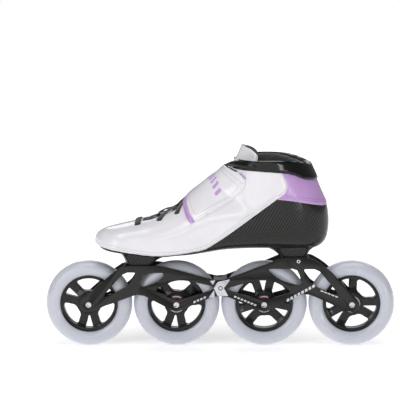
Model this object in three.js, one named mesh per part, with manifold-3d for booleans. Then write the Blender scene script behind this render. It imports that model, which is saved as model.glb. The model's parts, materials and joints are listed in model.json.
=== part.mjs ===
// Inline speed skate for the right foot: a low-cut lace-up boot with a carbon shell, a machined
// aluminium frame on a 195 mm two-bolt mount, and four 110 mm wheels in line.
// Millimetres. Toe at -X, heel at +X, outer (buckle) side at +Y, floor at Z = 0.
import * as THREE from 'three';
import { mergeVertices } from 'three/addons/utils/BufferGeometryUtils.js';
import Module from 'manifold-3d';

const wasm = await Module();
wasm.setup();

// ---- Driving dimensions ------------------------------------------------------------------
const WHEEL_RADIUS = 55;
const WHEEL_HALF_WIDTH = 12;
const WHEEL_PITCH = 111.8;
const AXLE_X = [-1.5, -0.5, 0.5, 1.5].map((step) => step * WHEEL_PITCH);
const AXLE_Z = WHEEL_RADIUS;
const AXLE_RADIUS = 4;
const CORE_RADIUS = 36.4;
const CORE_HALF_WIDTH = 7;
const HUB_RADIUS = 13.6;
const BEARING_RADIUS = 11;
const BEARING_WIDTH = 7;
const BEARING_INNER_FACE = 4.9;
const GAP = 0.3;

const RAIL_INNER = 14.5;
const RAIL_OUTER = 17.5;
const BOSS_FACE = 12.4;
const BOSS_RADIUS = 7.5;
const FRONT_DECK_Z = 105.6;
const REAR_DECK_Z = 116.4;
const FRONT_MOUNT_X = -101.5;
const REAR_MOUNT_X = FRONT_MOUNT_X + 195;
const MOUNT_BOLT_RADIUS = 3;
const BLOCK_HALF_WIDTH = 17;

const WALL = 2.5;
const TOE_X = -158.3;
const TOE_Y = 3.3;
const TOE_Z = 138;
const COLLAR_TOP_Z = 256;
const RING_POINTS = 24;
const LACE_WIDTH = 8;
const LACE_THICKNESS = 1.6;
// The wheel plane sits beside the middle of the footprint, because the boot bulges outwards.
const WHEEL_PLANE_Y = -6.5;

// ---- Mesh helpers --------------------------------------------------------------------------
function closedGeometry(geometry) {
  const bare = geometry.clone();
  bare.deleteAttribute('normal');
  bare.deleteAttribute('uv');
  const merged = mergeVertices(bare, 1e-3);
  const source = merged.index.array;
  const position = merged.attributes.position;
  const index = [];
  let volume = 0;
  const [a, b, c] = [new THREE.Vector3(), new THREE.Vector3(), new THREE.Vector3()];
  for (let i = 0; i < source.length; i += 3) {
    const [p, q, r] = source.slice(i, i + 3);
    if (p === q || q === r || r === p) continue;
    index.push(p, q, r);
    a.fromBufferAttribute(position, p);
    b.fromBufferAttribute(position, q);
    c.fromBufferAttribute(position, r);
    volume += a.dot(b.cross(c));
  }
  if (volume < 0) {
    for (let i = 0; i < index.length; i += 3) [index[i], index[i + 1]] = [index[i + 1], index[i]];
  }
  merged.setIndex(index);
  return merged;
}

function toSolid(geometry) {
  const closed = closedGeometry(geometry);
  return new wasm.Manifold(new wasm.Mesh({
    numProp: 3,
    vertProperties: new Float32Array(closed.attributes.position.array),
    triVerts: new Uint32Array(closed.index.array),
  }));
}

function toGeometry(solid) {
  const mesh = solid.getMesh();
  const geometry = new THREE.BufferGeometry();
  geometry.setAttribute('position', new THREE.BufferAttribute(new Float32Array(mesh.vertProperties), 3));
  geometry.setIndex(new THREE.BufferAttribute(new Uint32Array(mesh.triVerts), 1));
  geometry.computeVertexNormals();
  return geometry;
}

function largestPiece(solid) {
  return solid.decompose().reduce((best, piece) => (piece.volume() > best.volume() ? piece : best));
}

// A prism whose outline lies in the X-Z plane, from yLow to yHigh.
function sidePrism(shape, yLow, yHigh, curveSegments = 2) {
  const geometry = new THREE.ExtrudeGeometry(shape, { depth: yHigh - yLow, bevelEnabled: false, curveSegments });
  geometry.rotateX(Math.PI / 2);
  geometry.translate(0, yHigh, 0);
  return toSolid(geometry);
}

// A prism whose outline lies in the X-Y plane, from zLow to zHigh.
function planPrism(shape, zLow, zHigh) {
  const geometry = new THREE.ExtrudeGeometry(shape, { depth: zHigh - zLow, bevelEnabled: false, curveSegments: 2 });
  geometry.translate(0, 0, zLow);
  return toSolid(geometry);
}

function polygon(points) {
  return new THREE.Shape(points.map(([x, y]) => new THREE.Vector2(x, y)));
}

// A polygon whose corners are rounded by curves that start `radius` away from each corner.
function roundedPolygon(points, radius) {
  const corners = points.map(([x, y]) => new THREE.Vector2(x, y));
  const shape = new THREE.Shape();
  corners.forEach((corner, i) => {
    const before = corners[(i + corners.length - 1) % corners.length];
    const after = corners[(i + 1) % corners.length];
    const trimBefore = Math.min(radius, corner.distanceTo(before) * 0.45);
    const trimAfter = Math.min(radius, corner.distanceTo(after) * 0.45);
    const start = corner.clone().lerp(before, trimBefore / corner.distanceTo(before));
    const end = corner.clone().lerp(after, trimAfter / corner.distanceTo(after));
    if (i === 0) shape.moveTo(start.x, start.y);
    else shape.lineTo(start.x, start.y);
    shape.quadraticCurveTo(corner.x, corner.y, end.x, end.y);
  });
  shape.closePath();
  return shape;
}

// A ring turned about the Y axis from a closed outline of [radius, y] points.
function turned(profile, segments) {
  const closedProfile = [...profile, profile[0]].map(([r, y]) => new THREE.Vector2(r, y));
  return toSolid(new THREE.LatheGeometry(closedProfile, segments));
}

function pin(radius, yLow, yHigh, segments = 16) {
  const profile = [[0, yLow], [radius, yLow], [radius, yHigh], [0, yHigh]];
  return toSolid(new THREE.LatheGeometry(profile.map(([r, y]) => new THREE.Vector2(r, y)), segments));
}

function loft(rings, startPoint, endPoint) {
  const vertices = [];
  const index = [];
  const count = rings[0].length;
  for (const ring of rings) for (const p of ring) vertices.push(p.x, p.y, p.z);
  for (let i = 0; i + 1 < rings.length; i++) {
    for (let j = 0; j < count; j++) {
      const [a, b] = [i * count + j, i * count + ((j + 1) % count)];
      index.push(a, b, b + count, a, b + count, a + count);
    }
  }
  const first = vertices.length / 3;
  vertices.push(startPoint.x, startPoint.y, startPoint.z, endPoint.x, endPoint.y, endPoint.z);
  const lastRing = (rings.length - 1) * count;
  for (let j = 0; j < count; j++) {
    index.push(first, (j + 1) % count, j);
    index.push(first + 1, lastRing + j, lastRing + ((j + 1) % count));
  }
  const geometry = new THREE.BufferGeometry();
  geometry.setAttribute('position', new THREE.Float32BufferAttribute(vertices, 3));
  geometry.setIndex(index);
  return toSolid(geometry);
}

const assembly = new THREE.Group();
assembly.position.y = WHEEL_PLANE_Y;

function addPart(name, solid, material, parent = assembly) {
  const mesh = new THREE.Mesh(toGeometry(solid), material);
  mesh.name = name;
  parent.add(mesh);
  return mesh;
}

// ---- Materials -------------------------------------------------------------------------------
const finish = (color, roughness, metalness = 0) => new THREE.MeshStandardMaterial({ color, roughness, metalness });
const urethane = finish(0xc9cad2, 0.35);
const blackNylon = finish(0x1b1b1c, 0.45);
const sealedSteel = finish(0xa32b2b, 0.4, 0.3);
const steel = finish(0xb9b9bb, 0.3, 1);
const blackAluminium = finish(0x242424, 0.4, 0.8);
const carbon = finish(0x1c1c1b, 0.2);
const whiteLeather = finish(0xeeecf0, 0.3);
const lilacLeather = finish(0xb98fc8, 0.4);
const blackLeather = finish(0x171717, 0.2);
const greyLining = finish(0x4f4e52, 0.9);
const blackCloth = finish(0x232324, 0.95);

// ---- Wheels ------------------------------------------------------------------------------------
const WHEEL_SEGMENTS = 28;
const BEARING_SEGMENTS = 16;

function tyreSolid() {
  const half = [[36.7, 8.6], [40, 11], [45, WHEEL_HALF_WIDTH], [51.5, 9], [WHEEL_RADIUS, 0]];
  const otherHalf = half.slice(0, -1).map(([r, y]) => [r, -y]).reverse();
  return turned([...half, ...otherHalf], WHEEL_SEGMENTS);
}

function coreWindow(innerRadius, outerRadius, innerHalf, outerHalf, centre) {
  const shape = new THREE.Shape();
  shape.absarc(0, 0, outerRadius, centre - outerHalf, centre + outerHalf, false);
  shape.absarc(0, 0, innerRadius, centre + innerHalf, centre - innerHalf, true);
  shape.closePath();
  return sidePrism(shape, -CORE_HALF_WIDTH - 1, CORE_HALF_WIDTH + 1, 3);
}

// Three wide and three narrow windows alternate; `turn` is the angle of the first wide one.
function coreSolid(turn) {
  const rim = [
    [HUB_RADIUS - 1, -CORE_HALF_WIDTH], [CORE_RADIUS, -CORE_HALF_WIDTH],
    [CORE_RADIUS, CORE_HALF_WIDTH], [HUB_RADIUS - 1, CORE_HALF_WIDTH],
  ];
  const seat = BEARING_RADIUS + 0.2;
  const stop = BEARING_INNER_FACE - 0.2;
  const hubEnd = WHEEL_HALF_WIDTH - 0.1;
  const hub = [
    [HUB_RADIUS, -hubEnd], [HUB_RADIUS, hubEnd], [seat, hubEnd], [seat, stop],
    [seat - 1.6, stop], [seat - 1.6, -stop], [seat, -stop], [seat, -hubEnd],
  ];
  let disc = turned(rim, WHEEL_SEGMENTS);
  for (let i = 0; i < 3; i++) {
    const wide = turn + (i * 2 * Math.PI) / 3;
    disc = disc.subtract(coreWindow(16, 32.2, 0.4, 0.58, wide));
    disc = disc.subtract(coreWindow(15.5, 32.2, 0.06, 0.165, wide + Math.PI / 3));
  }
  return disc.add(turned(hub, BEARING_SEGMENTS));
}

function bearingSolid(side) {
  const [near, far] = [BEARING_INNER_FACE, BEARING_INNER_FACE + BEARING_WIDTH].map((y) => y * side);
  const bore = AXLE_RADIUS + 0.15;
  return turned([[bore, near], [BEARING_RADIUS, near], [BEARING_RADIUS, far], [bore, far]], BEARING_SEGMENTS);
}

const CORE_TURNS_DEG = [90, 85, 33, 45];

AXLE_X.forEach((x, i) => {
  const wheel = new THREE.Group();
  wheel.position.set(x, 0, AXLE_Z);
  assembly.add(wheel);
  const n = i + 1;
  addPart(`tyre_${n}`, tyreSolid(), urethane, wheel);
  addPart(`core_${n}`, coreSolid(THREE.MathUtils.degToRad(CORE_TURNS_DEG[i])), blackNylon, wheel);
  addPart(`bearing_${n}_outer_side`, bearingSolid(1), sealedSteel, wheel);
  addPart(`bearing_${n}_inner_side`, bearingSolid(-1), sealedSteel, wheel);
  const spacerEnd = BEARING_INNER_FACE - GAP;
  const spacer = [[AXLE_RADIUS + GAP, -spacerEnd], [5.8, -spacerEnd], [5.8, spacerEnd], [AXLE_RADIUS + GAP, spacerEnd]];
  addPart(`spacer_${n}`, turned(spacer, BEARING_SEGMENTS), steel, wheel);
  const headStart = RAIL_INNER - 0.1;
  const axle = [
    [0, -RAIL_OUTER + 0.2], [AXLE_RADIUS, -RAIL_OUTER + 0.2], [AXLE_RADIUS, headStart],
    [6, headStart], [6, RAIL_OUTER - 0.1], [0, RAIL_OUTER - 0.1],
  ].map(([r, y]) => new THREE.Vector2(r, y));
  addPart(`axle_${n}`, toSolid(new THREE.LatheGeometry(axle, BEARING_SEGMENTS)), steel, wheel);
});

// ---- Frame ---------------------------------------------------------------------------------------
const RAIL_OUTLINE = [
  [-179, 49], [-180, 58], [-161, 75.5], [-132.5, 99.5], [-122, FRONT_DECK_Z], [-75, FRONT_DECK_Z],
  [-12.8, 88.6], [0, 86.2], [12.6, 90.3], [65.3, 110.2], [79, REAR_DECK_Z], [112, REAR_DECK_Z],
  [123, 111.8], [138.6, 100.3], [172.8, 63.1], [180, 52], [175, 45.5], [163, 46], [147.5, 53],
  [129.7, 62], [110, 70], [101, 68.5], [67, 50.6], [60, 46.5], [51.8, 46.5], [42, 52], [19.8, 61.4],
  [8, 66.5], [-8, 66.5], [-19.3, 61.4], [-42, 52], [-51.8, 46.5], [-60, 46.5], [-68.8, 52.3],
  [-88.3, 62.1], [-101.3, 69.5], [-111.3, 67], [-130.8, 59.3], [-152, 52.3], [-160, 46], [-173, 45],
];
const RAIL_WINDOWS = [
  [[-149, 63], [-148, 68], [-122, 97], [-105, 97], [-116.3, 80]],
  [[-104, 77], [-100.5, 88], [-95, 96.5], [-69, 96.5], [-75.3, 87.8], [-88.3, 80.8]],
  [[-85, 73], [-72, 80.4], [-57.5, 86.8], [-42.8, 86.8], [-5, 78.3], [-8.7, 74.4], [-35.5, 66.3], [-56, 60.8]],
  [[5, 75.5], [26.3, 82], [44, 86.8], [65.3, 86.8], [92, 73.5], [83, 68.8], [56, 61.5], [29.5, 68]],
  [[58.5, 101.8], [96, 101.9], [99.5, 97.8], [105, 80], [91.3, 81.5], [75, 87.8]],
  [[103.5, 101.4], [124, 101.4], [150, 70], [149, 66.5], [118.3, 79.5], [110.2, 88.6]],
];

function railSolid(yLow, yHigh) {
  const plate = sidePrism(roundedPolygon(RAIL_OUTLINE, 5), yLow, yHigh, 1);
  return RAIL_WINDOWS.reduce(
    (solid, points) => solid.subtract(sidePrism(roundedPolygon(points, 4), yLow - 1, yHigh + 1, 1)),
    plate,
  );
}

function frameSolid() {
  const frontDeck = [[-126, FRONT_DECK_Z - 5], [-122, 97.5], [-96, 97.5], [-91, 99.6], [-88.5, FRONT_DECK_Z],
    [-121, FRONT_DECK_Z]];
  const rearDeck = [[80, 110], [84, 108], [112, 108], [116, 111], [111, REAR_DECK_Z], [80, REAR_DECK_Z]];
  const centreTie = [[-8.5, 87], [-2.5, 77], [2.5, 77], [8.5, 88.5], [0, 86]];
  let solid = railSolid(RAIL_INNER, RAIL_OUTER).add(railSolid(-RAIL_OUTER, -RAIL_INNER));
  for (const outline of [frontDeck, rearDeck, centreTie]) {
    solid = solid.add(sidePrism(polygon(outline), -RAIL_INNER - 0.5, RAIL_INNER + 0.5));
  }
  for (const x of AXLE_X) {
    for (const side of [-1, 1]) {
      const [low, high] = [BOSS_FACE * side, (RAIL_INNER + 0.5) * side].sort((a, b) => a - b);
      solid = solid.add(pin(BOSS_RADIUS, low, high, BEARING_SEGMENTS).translate([x, 0, AXLE_Z]));
    }
    solid = solid.subtract(pin(AXLE_RADIUS + GAP, -20, 20, BEARING_SEGMENTS).translate([x, 0, AXLE_Z]));
    const counterbore = pin(6 + GAP, RAIL_INNER - 0.4, 20, BEARING_SEGMENTS);
    solid = solid.subtract(counterbore.translate([x, 0, AXLE_Z]));
  }
  for (const x of [FRONT_MOUNT_X, REAR_MOUNT_X]) {
    solid = solid.subtract(upright(MOUNT_BOLT_RADIUS + GAP, 90, 125).translate([x, 0, 0]));
  }
  return solid;
}

// A vertical round bar from zLow to zHigh.
function upright(radius, zLow, zHigh, segments = 12) {
  return pin(radius, -zHigh, -zLow, segments).rotate([-90, 0, 0]);
}

addPart('frame', frameSolid(), blackAluminium);

// ---- Boot surface --------------------------------------------------------------------------------
// Sections stand upright along the forefoot, then fan about a hinge point above the instep until
// they lie flat at the collar.
const INSTEP_LINE = [
  [TOE_X, TOE_Z], [-156, 143.5], [-151.5, 147], [-143.8, 150.7], [-128.4, 154.3], [-113, 157.7], [-97.5, 161.5],
  [-85, 164.8], [-61, 174], [-48, 183], [-36, 194.5], [-20, 208], [-5, 219.5], [7, 229.5], [15, 238.5],
  [20, 247], [24, COLLAR_TOP_Z + 2],
];
const SOLE_LINE = [
  [TOE_X, TOE_Z], [-157, 132.5], [-152, 127], [-144, 123.6], [-130, 121.2], [-100, 117.2], [-75.5, 115.8],
  [-59, 117.2], [-37.6, 118.9], [-20.5, 121.3], [2.6, 125], [25, 126.6], [57, 127], [95, 126], [113.5, 126.2],
  [123, 128.2], [130.5, 133], [135.8, 142], [138, 156], [137.8, 170], [135.3, 184], [128.5, 200], [121.7, 216],
  [113.5, 234], [109.5, 244], [106, COLLAR_TOP_Z + 2],
];
const FAN_HINGE = new THREE.Vector2(-60, 243);
// [place, outer half-width, inner half-width, waist]: the place is an X, then an angle in degrees.
const UPRIGHT_SECTIONS = [
  [-157.2, 6.5, 6.5, 0.55], [-154.6, 14.5, 13.2, 0.57], [-150, 21.8, 22.3, 0.58], [-143, 29.3, 30, 0.6],
  [-132, 38.2, 36.3, 0.62], [-118, 46, 38.2, 0.63], [-98, 52.7, 41, 0.63], [-78, 56.6, 43, 0.62],
  [-60, 58.4, 44.2, 0.6],
];
const FANNED_SECTIONS = [
  [283, 59.3, 45, 0.58], [295, 58.6, 46.2, 0.57], [306, 55.6, 47.3, 0.56], [316, 51.4, 47.8, 0.55],
  [325, 48, 47.6, 0.53], [333, 46.2, 47.6, 0.5], [341, 45.2, 48.2, 0.48], [350, 46, 49.8, 0.47],
  [360, 46.8, 51, 0.47],
];
const section = ([, outer, inner, waist]) => ({ outer, inner, waist });

function densely(points) {
  const curve = new THREE.SplineCurve(points.map(([x, z]) => new THREE.Vector2(x, z)));
  return curve.getPoints(points.length * 10);
}
const instep = densely(INSTEP_LINE);
const sole = densely(SOLE_LINE);

function crossing(line, origin, direction) {
  const side = (p) => direction.x * (p.y - origin.y) - direction.y * (p.x - origin.x);
  let found = null;
  for (let i = 0; i + 1 < line.length; i++) {
    const [a, b] = [side(line[i]), side(line[i + 1])];
    if ((a <= 0) === (b <= 0)) continue;
    const point = line[i].clone().lerp(line[i + 1], a / (a - b));
    if (point.clone().sub(origin).dot(direction) > 0) found = found ?? point;
  }
  return found;
}

const bootSections = [
  ...UPRIGHT_SECTIONS.map((row) => {
    const down = new THREE.Vector2(0, -1);
    const origin = new THREE.Vector2(row[0], 400);
    return { top: crossing(instep, origin, down), bottom: crossing(sole, origin, down), ...section(row) };
  }),
  ...FANNED_SECTIONS.map((row) => {
    const angle = THREE.MathUtils.degToRad(row[0]);
    const ray = new THREE.Vector2(Math.cos(angle), Math.sin(angle));
    return { top: crossing(instep, FAN_HINGE, ray), bottom: crossing(sole, FAN_HINGE, ray), ...section(row) };
  }),
  { top: instep.at(-1), bottom: sole.at(-1), outer: 46.5, inner: 50.7, waist: 0.47 },
];

// One closed ring of a section, moved outwards by `grow` (inwards when it is negative).
function bootRing({ top, bottom, outer, inner, waist }, k, grow) {
  const last = bootSections.length - 1;
  const along = bottom.clone().sub(top).normalize();
  const length = bottom.distanceTo(top);
  const toeShift = grow * THREE.MathUtils.clamp((-120 - top.x) / 38, 0, 1);
  const centre = top.clone().addScaledVector(along, length * waist);
  const heelward = THREE.MathUtils.smoothstep(k, 8, last);
  const topPower = 2.25;
  const solePower = THREE.MathUtils.lerp(3, 1.85, heelward);
  const ring = [];
  for (let j = 0; j < RING_POINTS; j++) {
    const angle = (j / RING_POINTS) * 2 * Math.PI;
    const [c, s] = [Math.cos(angle), Math.sin(angle)];
    const power = 2 / (c > 0 ? topPower : solePower);
    const reach = c > 0 ? length * waist : length * (1 - waist);
    const width = s > 0 ? outer : inner;
    const u = Math.sign(c) * Math.abs(c) ** power * Math.max(reach + grow, 0.4);
    const y = Math.sign(s) * Math.abs(s) ** power * Math.max(width + grow, 0.4);
    ring.push(new THREE.Vector3(centre.x - along.x * u - toeShift, TOE_Y + y, centre.y - along.y * u));
  }
  return ring;
}

function bootSolid(grow) {
  const rings = bootSections.map((entry, k) => bootRing(entry, k, grow));
  const tip = new THREE.Vector3(TOE_X - grow, TOE_Y, TOE_Z);
  const lid = rings.at(-1).reduce((sum, p) => sum.add(p), new THREE.Vector3()).divideScalar(RING_POINTS);
  return loft(rings, tip, lid);
}

function bootLayer(inside, outside) {
  return bootSolid(outside).subtract(bootSolid(inside));
}

// ---- Where the buckle sits -------------------------------------------------------------------------
const STRAP_UNDERSIDE = 0.5;
const STRAP_THICKNESS = 2.4;
const outerSkin = new THREE.Mesh(toGeometry(bootSolid(0)), new THREE.MeshBasicMaterial({ side: THREE.DoubleSide }));
const raycaster = new THREE.Raycaster();

function skinHit(origin, direction) {
  raycaster.set(origin, direction.clone().normalize());
  const hit = raycaster.intersectObject(outerSkin)[0];
  return { point: hit.point, normal: hit.face.normal };
}

// Local axes: X along the strap towards the heel, Y down the boot, Z out from the boot.
const BUCKLE_X = 42;
const BUCKLE_Z = 213;
const STRAP_END = new THREE.Vector3(-4, 42, 0);
const STRAP_END_HEIGHT = 5.6;
const PROBE_HEIGHT = 300;
const BASE = { length: 46, width: 22, thickness: 2 };
const BASE_STANDOFF = 0.5;
const LADDER = { bottom: 3.6, top: 5.4, width: 13 };
const CHEEK = { inner: 8.6, outer: 10.6, front: -14, back: 14, top: 10.6 };
const PIVOT_HEIGHT = 8;
const LEVER_PIVOT = 7;
const RELEASE_PIVOT = -8;
const PIN_RADIUS = 1.4;
const PIVOT_BORE = PIN_RADIUS + 0.15;

const buckleSeat = skinHit(new THREE.Vector3(BUCKLE_X, 200, BUCKLE_Z), new THREE.Vector3(0, -1, 0));
const strapSeat = skinHit(new THREE.Vector3(STRAP_END.x, STRAP_END.y, PROBE_HEIGHT), new THREE.Vector3(0, 0, -1));
const strapLead = strapSeat.point.clone().addScaledVector(strapSeat.normal, STRAP_END_HEIGHT);
const alongStrap = buckleSeat.point.clone().sub(strapLead).normalize();
const outward = buckleSeat.normal.clone().addScaledVector(alongStrap, -buckleSeat.normal.dot(alongStrap)).normalize();
const downward = outward.clone().cross(alongStrap);
const buckleAxes = new THREE.Matrix4().makeBasis(alongStrap, downward, outward);

// How far the boot's skin stands above the seat's tangent plane under a local rectangle.
function skinHeight(uLow, uHigh, vHalf) {
  let highest = -Infinity;
  for (let i = 0; i <= 6; i++) {
    for (const v of [-vHalf, -vHalf / 2, 0, vHalf / 2, vHalf]) {
      const u = THREE.MathUtils.lerp(uLow, uHigh, i / 6);
      const origin = new THREE.Vector3(u, v, 40).applyMatrix4(buckleAxes).add(buckleSeat.point);
      const { point } = skinHit(origin, outward.clone().negate());
      highest = Math.max(highest, point.sub(buckleSeat.point).dot(outward));
    }
  }
  return highest;
}

const CONNECTOR = { front: -62, back: -46, halfWidth: 9, thickness: 2 };
const connectorTop = LADDER.bottom - GAP;
const strapTop = STRAP_UNDERSIDE + STRAP_THICKNESS + 0.6;
const lift = Math.max(
  skinHeight(-BASE.length / 2, BASE.length / 2, BASE.width / 2) + BASE_STANDOFF,
  skinHeight(CONNECTOR.front, CONNECTOR.back, CONNECTOR.halfWidth) + strapTop + CONNECTOR.thickness - connectorTop,
);
const buckle = new THREE.Group();
buckle.quaternion.setFromRotationMatrix(buckleAxes);
buckle.position.copy(buckleSeat.point).addScaledVector(outward, lift);
assembly.add(buckle);

// A peg that stands along the local outward direction.
function peg(u, v, radius, low, high, segments = 10) {
  return upright(radius, low, high, segments).translate([u, v, 0]);
}

const RIVETS_U = [-19.5, 19.5];
const RIVET_RADIUS = 1.5;
buckle.updateMatrix();
const rivetHoles = RIVETS_U.map((u) => peg(u, 0, RIVET_RADIUS + GAP, -lift - 7, 1).transform(buckle.matrix.elements));

// ---- Tongue ------------------------------------------------------------------------------------
// Stations along the tongue's centre line: X, Z, half-width and how far the edges curl inwards.
const TONGUE_CENTRE_Y = 5;
const TONGUE_THICKNESS = 3.6;
const TONGUE_STATIONS = [
  [-96, 154, 17, 3], [-70, 163, 22, 6], [-45, 178.5, 27, 10], [-22, 199, 30, 14], [-3, 215, 30, 17],
  [11, 228.5, 29, 19], [20, 242, 28, 20], [26, 259, 27, 20],
];
const TONGUE_COLUMNS = 8;

function tongueSolid() {
  const rings = TONGUE_STATIONS.map(([x, z, halfWidth, curl], i) => {
    const before = TONGUE_STATIONS[Math.max(i - 1, 0)];
    const after = TONGUE_STATIONS[Math.min(i + 1, TONGUE_STATIONS.length - 1)];
    const normal = new THREE.Vector3(before[1] - after[1], 0, after[0] - before[0]).normalize();
    const row = (depth) => Array.from({ length: TONGUE_COLUMNS + 1 }, (_, j) => {
      const across = (2 * j) / TONGUE_COLUMNS - 1;
      const point = new THREE.Vector3(x, TONGUE_CENTRE_Y + across * halfWidth, z);
      return point.addScaledVector(normal, -curl * across * across - depth);
    });
    return [...row(0), ...row(TONGUE_THICKNESS).reverse()];
  });
  return sheetLoft(rings);
}

// A loft of thin rings: the first half of each ring is one face, the second half is the other.
function sheetLoft(rings) {
  const count = rings[0].length;
  const half = count / 2;
  const vertices = rings.flat().flatMap((p) => p.toArray());
  const index = [];
  for (let i = 0; i + 1 < rings.length; i++) {
    for (let j = 0; j < count; j++) {
      const [a, b] = [i * count + j, i * count + ((j + 1) % count)];
      index.push(a, b, b + count, a, b + count, a + count);
    }
  }
  for (const [start, flip] of [[0, true], [(rings.length - 1) * count, false]]) {
    for (let j = 0; j + 1 < half; j++) {
      const [a, b, c, d] = [j, j + 1, count - 2 - j, count - 1 - j].map((k) => start + k);
      if (flip) index.push(a, c, b, a, d, c);
      else index.push(a, b, c, a, c, d);
    }
  }
  const geometry = new THREE.BufferGeometry();
  geometry.setAttribute('position', new THREE.Float32BufferAttribute(vertices, 3));
  geometry.setIndex(index);
  return toSolid(geometry);
}

// ---- Boot pieces -----------------------------------------------------------------------------------
// Side-view lines that part the shell, the upper, the heel panel and the collar band.
const SHELL_SEAM = [[-170, 133], [-155, 130.5], [-115, 124.3], [-91, 121.3], [-75, 120.8], [-59, 122],
  [-37.6, 125.7], [-20, 130.5], [-4, 140], [15.3, 153.5], [44.6, 175], [72.6, 196.2]];
const HEEL_SEAM = [[72.6, 196.2], [89.5, 194], [108.8, 190], [128, 185.5], [160, 180]];
const QUARTER_EDGE = [[72.6, 196.2], [80, 201.5], [84, 209.5], [82.6, 217], [78, 229.4]];
const BAND_EDGE = [[4, 235], [20.8, 231.9], [51, 231.3], [78, 229.4], [92, 226.5], [102, 221], [112, 218],
  [160, 214]];
const COLLAR_EDGE = [[4, 238.5], [16, 242.5], [78, 243], [94, 240.4], [113, 234.5], [160, 228]];
const shifted = (line, dx, dz) => line.map(([x, z]) => [x + dx, z + dz]);
const HALF_GAP = GAP / 2;
const SIDE_REACH = 90;

function sideRegion(points) {
  return sidePrism(polygon(points), -SIDE_REACH, SIDE_REACH);
}

// The throat: the open slot that runs from the vamp up through the collar.
const THROAT = [[-99, 6], [-96, -8], [-60, -10.5], [-20, -14], [8, -19], [26, -28], [70, -28], [70, 34],
  [24, 36], [8, 33], [-20, 29], [-60, 24], [-96, 20]];
const throatPrism = planPrism(roundedPolygon(THROAT, 6), 150, 270);

const aboveCollar = sideRegion([[-30, 300], [160, 300], ...[...COLLAR_EDGE].reverse()]);
const wall = [aboveCollar, ...rivetHoles].reduce((solid, cut) => solid.subtract(cut), bootLayer(-WALL, 0));
const shellRegion = sideRegion([...shifted(SHELL_SEAM, 0, -HALF_GAP), ...shifted(HEEL_SEAM, 0, -HALF_GAP),
  [160, 90], [-170, 90]]);
const upperRegion = sideRegion([...shifted(SHELL_SEAM, 0, HALF_GAP), ...shifted(QUARTER_EDGE, -HALF_GAP, 0),
  [51, 231.3 - HALF_GAP], [20.8, 231.9 - HALF_GAP], [4, 235 - HALF_GAP], [4, 270], [-170, 270]]);
const heelRegion = sideRegion([...shifted(QUARTER_EDGE, HALF_GAP, 0).reverse(),
  ...shifted(HEEL_SEAM.slice(1), 0, HALF_GAP), ...shifted(BAND_EDGE.slice(4), 0, -HALF_GAP).reverse()]);
const bandRegion = sideRegion([...shifted(BAND_EDGE, 0, HALF_GAP), [160, 280], [4.3, 280]]);

addPart('carbon_shell', largestPiece(wall.intersect(shellRegion)), carbon);
addPart('upper', largestPiece(wall.intersect(upperRegion).subtract(throatPrism)), whiteLeather);
addPart('heel_panel', largestPiece(wall.intersect(heelRegion)), lilacLeather);
addPart('collar_band', largestPiece(wall.intersect(bandRegion).subtract(throatPrism)), blackLeather);

const paddingRegion = sideRegion([[34, 244.7], [78, 245], [94, 242.4], [118, 235], [118, 204], [60, 200],
  [42, 211]]);
const padding = bootLayer(-WALL - 9, -WALL - GAP).intersect(paddingRegion).subtract(throatPrism);
addPart('collar_padding', largestPiece(padding), greyLining);

const INSOLE_TOP = [[-140, 130], [-100, 124.6], [-75, 123.4], [-35, 126.4], [10, 132.6], [40, 134.5], [120, 134.5]];
const insole = bootSolid(-WALL - 0.6).intersect(sideRegion([...INSOLE_TOP, [125, 100], [-145, 100]]));
addPart('insole', largestPiece(insole), greyLining);

// ---- Mount blocks and bolts --------------------------------------------------------------------
function mountBlock(outline, boltX, boltTop) {
  const bore = upright(MOUNT_BOLT_RADIUS + GAP, 90, boltTop + GAP).translate([boltX, 0, 0]);
  const blank = sidePrism(roundedPolygon(outline, 3), -BLOCK_HALF_WIDTH, BLOCK_HALF_WIDTH);
  return largestPiece(blank.subtract(bootSolid(GAP)).subtract(bore));
}

function mountBolt(x, deckUnderside, tip) {
  const washerTop = deckUnderside - GAP;
  const head = washerTop - 1.5;
  addPart(`${x < 0 ? 'front' : 'rear'}_mount_washer`,
    upright(6.5, washerTop - 1.2, washerTop).subtract(upright(MOUNT_BOLT_RADIUS + GAP, 80, 130)).translate([x, 0, 0]),
    steel);
  addPart(`${x < 0 ? 'front' : 'rear'}_mount_bolt`,
    upright(5, head - 4, head).add(upright(MOUNT_BOLT_RADIUS, head - 1, tip)).translate([x, 0, 0]), steel);
}

const FRONT_BLOCK = [[-116.7, FRONT_DECK_Z + GAP], [-87.5, FRONT_DECK_Z + GAP], [-79, 122], [-79, 132], [-126, 132],
  [-126, 122]];
const REAR_BLOCK = [[82, REAR_DECK_Z + GAP], [106.4, REAR_DECK_Z + GAP], [117, 126], [117, 140], [73, 140], [73, 127]];
const FRONT_BOLT_TIP = 115;
const REAR_BOLT_TIP = 124;
addPart('front_mount_block', mountBlock(FRONT_BLOCK, FRONT_MOUNT_X, FRONT_BOLT_TIP), blackAluminium);
addPart('rear_mount_block', mountBlock(REAR_BLOCK, REAR_MOUNT_X, REAR_BOLT_TIP), blackAluminium);
mountBolt(FRONT_MOUNT_X, 97.5, FRONT_BOLT_TIP);
mountBolt(REAR_MOUNT_X, 108, REAR_BOLT_TIP);

addPart('tongue', tongueSolid(), whiteLeather);

// ---- Instep strap --------------------------------------------------------------------------------
const BINDING_WIDTH = 5;
const STRAP_FRONT = [[-14, 44], [-37, 21], [-47, 6], [-50, -5], [-49, -19], [-44.7, -32], [-37, -41], [-36, -70]];
const STRAP_REAR = [[36, -70], [35, -47], [18.8, -38], [8.8, -25], [4.3, -10], [3.9, 6], [6.6, 23.5], [10, 38],
  [6, 45]];
const strapSide = sideRegion([[-90, 119.8], [31, 215], [36, 222], [36, 275], [-90, 275]]);

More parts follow.
